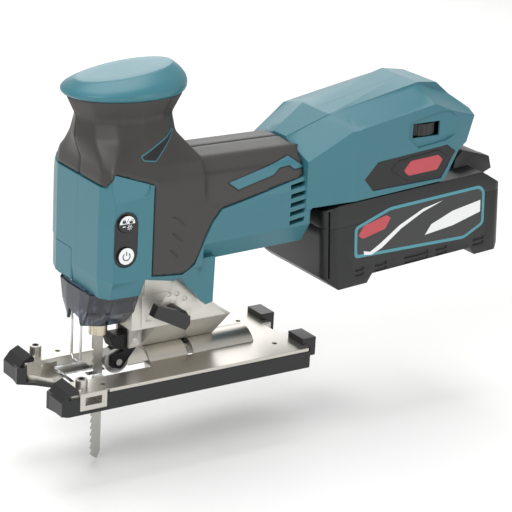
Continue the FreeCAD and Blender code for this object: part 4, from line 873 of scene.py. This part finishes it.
@dataclass
class Battery:
    """The pack's two shells with rounded corners, its slots and its printed labels."""

    corner: Vector = Vector((140, 0, 48))
    tilt: float = 4.0
    length: float = 139.0
    half: float = 38.0
    front_round: float = 9
    rear_round: float = 7
    slot_levels: Point = (6.2, 9.6)
    slots: tuple[tuple[float, float], ...] = ((22, 28.5), (37, 46), (60, 79), (85, 94),
                                              (115.5, 124.5))
    label: tuple[Point, ...] = ((21, 18.5), (21, 39), (48, 47), (120, 47), (124, 43), (124, 20),
                                (108, 13))
    white: tuple[Point, ...] = ((81, 28.7), (98, 34.2), (120.5, 37), (120.5, 29), (98.5, 24.3),
                                (76, 22.5))
    sweep: tuple[Point, ...] = ((28, 22), (33, 20.5), (40, 24), (56, 33.6), (74, 40.6), (90, 43),
                                (74, 38.6), (57, 31), (42, 21.2), (34, 18.4), (28.4, 19.4))
    lozenge: tuple[Point, ...] = ((23.6, 33.4), (28, 39), (45, 42.4), (48.6, 40.2), (44.5, 33.6),
                                  (27, 30.4))

    def set_down(self, thing: bpy.types.Object) -> bpy.types.Object:
        """Moves a piece from the pack's own frame to its place and tilt.

        Args:
            thing: The piece.

        Returns:
            The same piece.
        """
        return turn(thing, Matrix.Translation(self.corner * MM) @ Matrix.Rotation(
            math.radians(-self.tilt), 4, "Y"))

    def corner_tool(self, x_end: float, side: Side, radius: float) -> bpy.types.Object:
        """What lies outside a rounded upright corner.

        Args:
            x_end: Where the end face stands along the pack.
            side: Which side of the tool.
            radius: Of the rounding.

        Returns:
            The tool to cut it with.
        """
        out = 1 if x_end > 1 else -1
        y_end = side.value * self.half
        middle = (x_end - out * radius, y_end - side.value * radius)
        arc = [(middle[0] + out * radius * math.cos(math.radians(a)),
                middle[1] + side.value * radius * math.sin(math.radians(a)))
               for a in range(0, 91, 9)]
        ring = arc + [(middle[0], y_end + side.value * 3), (x_end + out * 3, y_end + side.value * 3),
                      (x_end + out * 3, middle[1])]
        return self.set_down(prism("corner_tool", Plane.XY, -5, 80, ring))

    def build(self) -> None:
        """Makes the shells and the labels."""
        for half in ("lower", "upper"):
            shell = copy_of(f"battery_{half}_case", f"battery_{half}_shell")
            for side in Side:
                carve(shell, self.corner_tool(0, side, self.front_round),
                      self.corner_tool(self.length, side, self.rear_round))
            if half == "lower":
                self.cut_slots(shell)
            modify(shell, "BEVEL", width=0.9 * MM, segments=3, limit_method="ANGLE",
                   angle_limit=math.radians(33), use_clamp_overlap=True)
            seat(soften(shell, 40), BLACK, "battery", "black_plastic", f"battery_{half}_case")
        for side in Side:
            self.print_label(side)

    def cut_slots(self, shell: bpy.types.Object) -> None:
        """Cuts the pairs of shallow slots along the lower side.

        Args:
            shell: The lower shell.
        """
        for side in Side:
            low, high = sorted((side.value * (self.half - 0.9), side.value * (self.half + 2)))
            for start, end in self.slots:
                for level in self.slot_levels:
                    tool = prism("slot", Plane.XZ, low, high, round_outline(
                        ((start, level), (end, level), (end, level + 2.2), (start, level + 2.2)),
                        0.6, 2))
                    carve(shell, self.set_down(tool))

    def print_label(self, side: Side) -> None:
        """Lays one label: border, dark field, white and red shapes.

        Args:
            side: Which side of the tool.
        """
        outer = round_outline(self.label, 3)
        inner = Grip.shrink(self.label, 2.1)
        flip = side.value
        for name, finish, ring, skin in (
                ("border", INK_TEAL, outer, 0.12), ("field", FILM, round_outline(inner, 2), 0.2),
                ("white", INK_WHITE, self.white, 0.27), ("sweep", INK_WHITE, self.sweep, 0.27),
                ("lozenge", INK_RED, round_outline(self.lozenge, 1.2), 0.34)):
            low, high = sorted((flip * (self.half - 0.3), flip * (self.half + skin)))
            piece = self.set_down(prism(f"label_{name}_{side.key}", Plane.XZ, low, high, ring))
            seat(piece, finish, "battery", "label_film",
                 *(["battery_labels"] if name == "border" else []))


@dataclass
class Badge:
    """The long six-sided plates on the rear housing, with a raised field and a red lozenge."""

    plate: tuple[Point, ...] = ((162.7, 119.1), (172.8, 129.1), (226, 134.5), (233.6, 128.9),
                                (223.2, 112.3), (169.6, 110.4))
    field: tuple[Point, ...] = ((182.7, 122.6), (188.9, 128.2), (219.6, 131.6), (228, 126),
                                (223.4, 115.8), (196.8, 113.4))
    lozenge: tuple[Point, ...] = ((193, 121), (197.9, 126.7), (219.4, 128.2), (223.2, 124.9),
                                  (219.4, 118.6), (197, 117.2))

    def build(self) -> None:
        """Makes the plates of both sides."""
        for side in Side:
            for name, finish, ring, low, high, round_mm in (
                    ("plate", BLACK, self.plate, 37.4, 38.0, 0.5),
                    ("field", BLACK, self.field, 37.5, 38.38, 0.8),
                    ("lozenge", INK_RED, round_outline(self.lozenge, 1.2), 37.6, 38.46, 0)):
                piece = prism(f"badge_{name}_{side.key}", Plane.XZ,
                              *sorted((side.value * low, side.value * high)), ring)
                if round_mm:
                    modify(piece, "BEVEL", width=round_mm * MM, segments=1,
                           limit_method="ANGLE", angle_limit=math.radians(40))
                seat(piece, finish, "housing", "black_plastic",
                     *(["badge_plates"] if name == "plate" else []))


@dataclass
class Switches:
    """The faces printed on the two pairs of round buttons."""

    def build(self) -> None:
        """Prints the marks of both sides."""
        for side in Side:
            self.lock_face(side)
            self.power_face(side)

    def spot(self, node: str) -> tuple[Point, float]:
        """The centre of a button and its outer face, in millimetres.

        Args:
            node: The button's CAD node.

        Returns:
            Its centre and the Y of its face.
        """
        low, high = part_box(node)
        middle = (low + high) / 2 / MM
        face = (low.y if middle.y < 0 else high.y) / MM
        return (middle.x, middle.z), face

    def mark(self, name: str, side: Side, finish: Finish, body: str, face: float, lift: float,
             *rings: Sequence[Point]) -> None:
        """Raises flat outlines a little above a button's face and joins them.

        Args:
            name: The mark's name.
            side: Which side of the tool.
            finish: The ink.
            body: The button it moves with.
            face: The Y of the face, in millimetres.
            lift: How far the ink stands proud.
            rings: The outlines.
        """
        low, high = sorted((face - side.value * 0.2, face + side.value * lift))
        parts = [prism(f"{name}_{number}", Plane.XZ, low, high, ring)
                 for number, ring in enumerate(rings)]
        seat(join(f"{name}_{side.key}", *parts), finish, body, "label_film")

    def lock_face(self, side: Side) -> None:
        """White upper half with two padlocks, dark lower half with a dash and a lamp.

        Args:
            side: Which side of the tool.
        """
        body = "lock_button_" + side.key
        (x, z), face = self.spot(body)
        self.mark("lock_white", side, INK_WHITE, body, face, 0.05,
                  disc((x, z), 5.0, 2, 178))
        self.mark("lock_signs", side, BLACK, body, face, 0.1,
                  bar((x - 3.3, z + 1.5), (x - 1.1, z + 1.5), 1.5),
                  bow((x - 2.2, z + 2.2), 0.75, 0.3, 0, 180),
                  bar((x + 1.2, z + 1.1), (x + 3.4, z + 1.1), 1.4),
                  bow((x + 3.1, z + 1.9), 0.75, 0.3, 0, 165),
                  bar((x - 0.7, z + 0.6), (x + 0.9, z + 3.4), 0.3))
        rays = [bar((x + 1.5 + 1.15 * math.cos(a), z - 1.9 + 1.15 * math.sin(a)),
                    (x + 1.5 + 1.8 * math.cos(a), z - 1.9 + 1.8 * math.sin(a)), 0.3)
                for a in (0, 0.785, 1.571, 2.356, 3.142, 3.927, 4.712, 5.498)]
        self.mark("lamp_signs", side, INK_WHITE, body, face, 0.05,
                  bar((x - 3.1, z - 1.3), (x - 1.3, z - 1.3), 0.6),
                  bow((x + 1.5, z - 1.9), 0.7, 0.3, 0, 350), *rays)

    def power_face(self, side: Side) -> None:
        """A white disc with the broken ring and bar of a power switch.

        Args:
            side: Which side of the tool.
        """
        body = "power_button_" + side.key
        (x, z), face = self.spot(body)
        self.mark("power_white", side, INK_WHITE, body, face, 0.05, disc((x, z), 5.0))
        self.mark("power_sign", side, BLACK, body, face, 0.1,
                  bow((x, z - 0.2), 2.3, 0.6, 130, 410), bar((x, z + 0.4), (x, z + 2.9), 0.6))


@dataclass
class GearHousing:
    """The cast gear housing with its parting line and the lever's three position marks."""

    dimples: tuple[Point, ...] = ((35.3, 59), (41, 58.5), (46.7, 54.7))
    dimple_radius: float = 1.35
    parting: tuple[Point, ...] = ((16.7, 41), (17.1, 41), (17.1, 72), (16.7, 72))
    frames: tuple[Point, ...] = ((22, 46.3), (49, 45.5))
    frame_half: float = 1.9

    def build(self) -> None:
        """Cuts the marks and rounds the casting's edges."""
        casting = copy_of("gear_housing", "gear_casting")
        for spot in self.dimples:
            carve(casting, prism("dimple", Plane.XZ, -25, -21.5, disc(spot, self.dimple_radius, count=20)))
        carve(casting, prism("parting", Plane.XZ, -24.6, -21.75, self.parting))
        half = self.frame_half
        for x, z in self.frames:
            carve(casting, prism("frame", Plane.XZ, -25, -21.8, (
                (x - half, z - half), (x + half, z - half), (x + half, z + half),
                (x - half, z + half))))
        modify(casting, "BEVEL", width=0.5 * MM, segments=2, limit_method="ANGLE",
               angle_limit=math.radians(35), use_clamp_overlap=True)
        seat(soften(casting, 40), CASTING, "housing", "cast_alloy", "gear_housing")


@dataclass
class Internals:
    """Pieces that keep their CAD shape and only need their finish."""

    finishes: tuple[tuple[Finish, tuple[str, ...]], ...] = (
        (STEEL, ("crank_gear", "crank_pin", "crank_stub", "counterweight", "rotor_shaft",
                 "rotor_core", "stator_core", "front_bearing", "rear_bearing", "rod",
                 "rod_yoke", "fork_pin", "roller_pin", "clamp_plate", "opener_pin",
                 "wire_guard", "guide_roller")),
        (COPPER, ("stator_coils",)), (BRONZE, ("rod_bushes",)), (CASTING, ("rod_frame",)),
        (BOARD, ("switch_board_left", "switch_board_right")), (CELL, ("battery_cells",)),
        (BLACK, ("cell_carrier", "terminal_block", "motor_controller", "cooling_fan",
                 "dial_bracket", "battery_latch_button")),
        (OXIDE, ("fence_screws", "bevel_bolt", "roller_fork")), (BLADE, ("blade",)),
        (NICKEL, ("clamp_sleeve",)), (CASTING, ("gear_housing",)), (PLATE, ("base_plate",)),
        (BLACK, ("base_cover", "battery_lower_case", "battery_upper_case")),
        (SMOKED, ("dust_cover",)), (CLEAR, ("splinter_insert",)),
        (ACETAL, ("orbital_lever", "speed_dial", "switch_panel_left", "switch_panel_right",
                  "power_button_left", "power_button_right", "lock_button_left",
                  "lock_button_right")),
        (CASING, ("opener_lever",)), (FILM, ("battery_labels",)), (BLACK, ("badge_plates",)))

    def build(self) -> None:
        """Dresses each node."""
        for finish, nodes in self.finishes:
            for node in nodes:
                finish.dress(frame["nodes"][node])
                LOG.info("%s dressed as %s", node, finish.name)


@dataclass
class Studio:
    """Pale floor, soft lights and the camera."""

    floor_z: float = -50.6
    azimuth: float = -34.461466
    elevation: float = 19.559346
    roll: float = 3.202182
    focal_px: float = 2000.0
    eye: tuple[float, float, float] = (-553.184, -968.808, 482.059)
    frame_px: int = 512
    sensor_mm: float = 36
    target: tuple[float, float, float] = (0.1, 0, 0.08)
    surroundings: float = 0.62
    lamps: tuple[tuple[str, tuple[float, float, float], float, float], ...] = (
        ("key", (-0.75, -0.55, 0.85), 0.55, 6.5), ("top", (0.1, 0.2, 1.2), 0.8, 5.5),
        ("back", (0.75, 1.15, 0.72), 0.9, 4.2), ("fill", (0.55, -1.1, 0.3), 0.5, 1.6))

    def build(self) -> None:
        """Sets up the floor, the world, the lights and the camera."""
        bpy.context.scene.view_settings.view_transform = "Standard"
        self.floor()
        self.world()
        for lamp in self.lamps:
            self.light(*lamp)
        self.camera()

    def floor(self) -> None:
        """A wide pale floor with faint unevenness."""
        bpy.ops.object.select_all(action="DESELECT")
        bpy.ops.mesh.primitive_plane_add(size=8, location=(0, 0, self.floor_z * MM))
        floor = settle(bpy.context.active_object)
        floor.name = "studio_floor"
        Finish("floor_paper_matt", "fcfcfb", 0.85, grain_mm=2, grain_depth_mm=0.01, mottle=0.01,
               edge_mm=0.01).dress(floor)

    def world(self) -> None:
        """Even white surroundings."""
        world = bpy.data.worlds.new("studio_white")
        bpy.context.scene.world = world
        world.use_nodes = True
        back = world.node_tree.nodes["Background"]
        back.inputs[0].default_value = (1.0, 1.0, 1.0, 1.0)
        back.inputs[1].default_value = self.surroundings

    def light(self, name: str, place: tuple[float, float, float], width: float,
              watts: float) -> None:
        """A soft box aimed at the tool's middle.

        Args:
            name: The lamp's name.
            place: Where it hangs, in metres.
            width: Its edge, in metres.
            watts: Its power.
        """
        bpy.ops.object.select_all(action="DESELECT")
        bpy.ops.object.light_add(type="AREA", location=place)
        lamp = bpy.context.active_object
        lamp.name = "light_" + name
        lamp.data.size, lamp.data.energy = width, watts
        aim = Vector(self.target) - Vector(place)
        lamp.rotation_euler = aim.to_track_quat("-Z", "Y").to_euler()

    def camera(self) -> None:
        """The camera at its measured place and turn."""
        a, e, r = (math.radians(v) for v in (self.azimuth, self.elevation, self.roll))
        back = Vector((math.sin(a) * math.cos(e), -math.cos(a) * math.cos(e), math.sin(e)))
        right = Vector((math.cos(a), math.sin(a), 0))
        up = back.cross(right)
        side = right * math.cos(r) + up * math.sin(r)
        top = up * math.cos(r) - right * math.sin(r)
        bpy.ops.object.camera_add()
        camera = bpy.context.active_object
        camera.name = "camera_main"
        camera.matrix_world = Matrix.Translation(Vector(self.eye) * MM) @ Matrix(
            (side, top, back)).transposed().to_4x4()
        camera.data.sensor_width = self.sensor_mm
        camera.data.lens = self.focal_px * self.sensor_mm / self.frame_px
        camera.data.clip_start, camera.data.clip_end = 0.05, 20
        bpy.context.scene.camera = camera


def main() -> None:
    """Builds every sub-assembly in order."""
    logging.basicConfig(level=logging.INFO, format="%(name)s: %(message)s")
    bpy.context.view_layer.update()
    for part in (Internals(), Casing(), Knob(), Grip(), Battery(), Badge(), Switches(),
                 GearHousing(), Studio()):
        LOG.info("building %s", type(part).__name__)
        part.build()


if __name__ == "__main__":
    main()
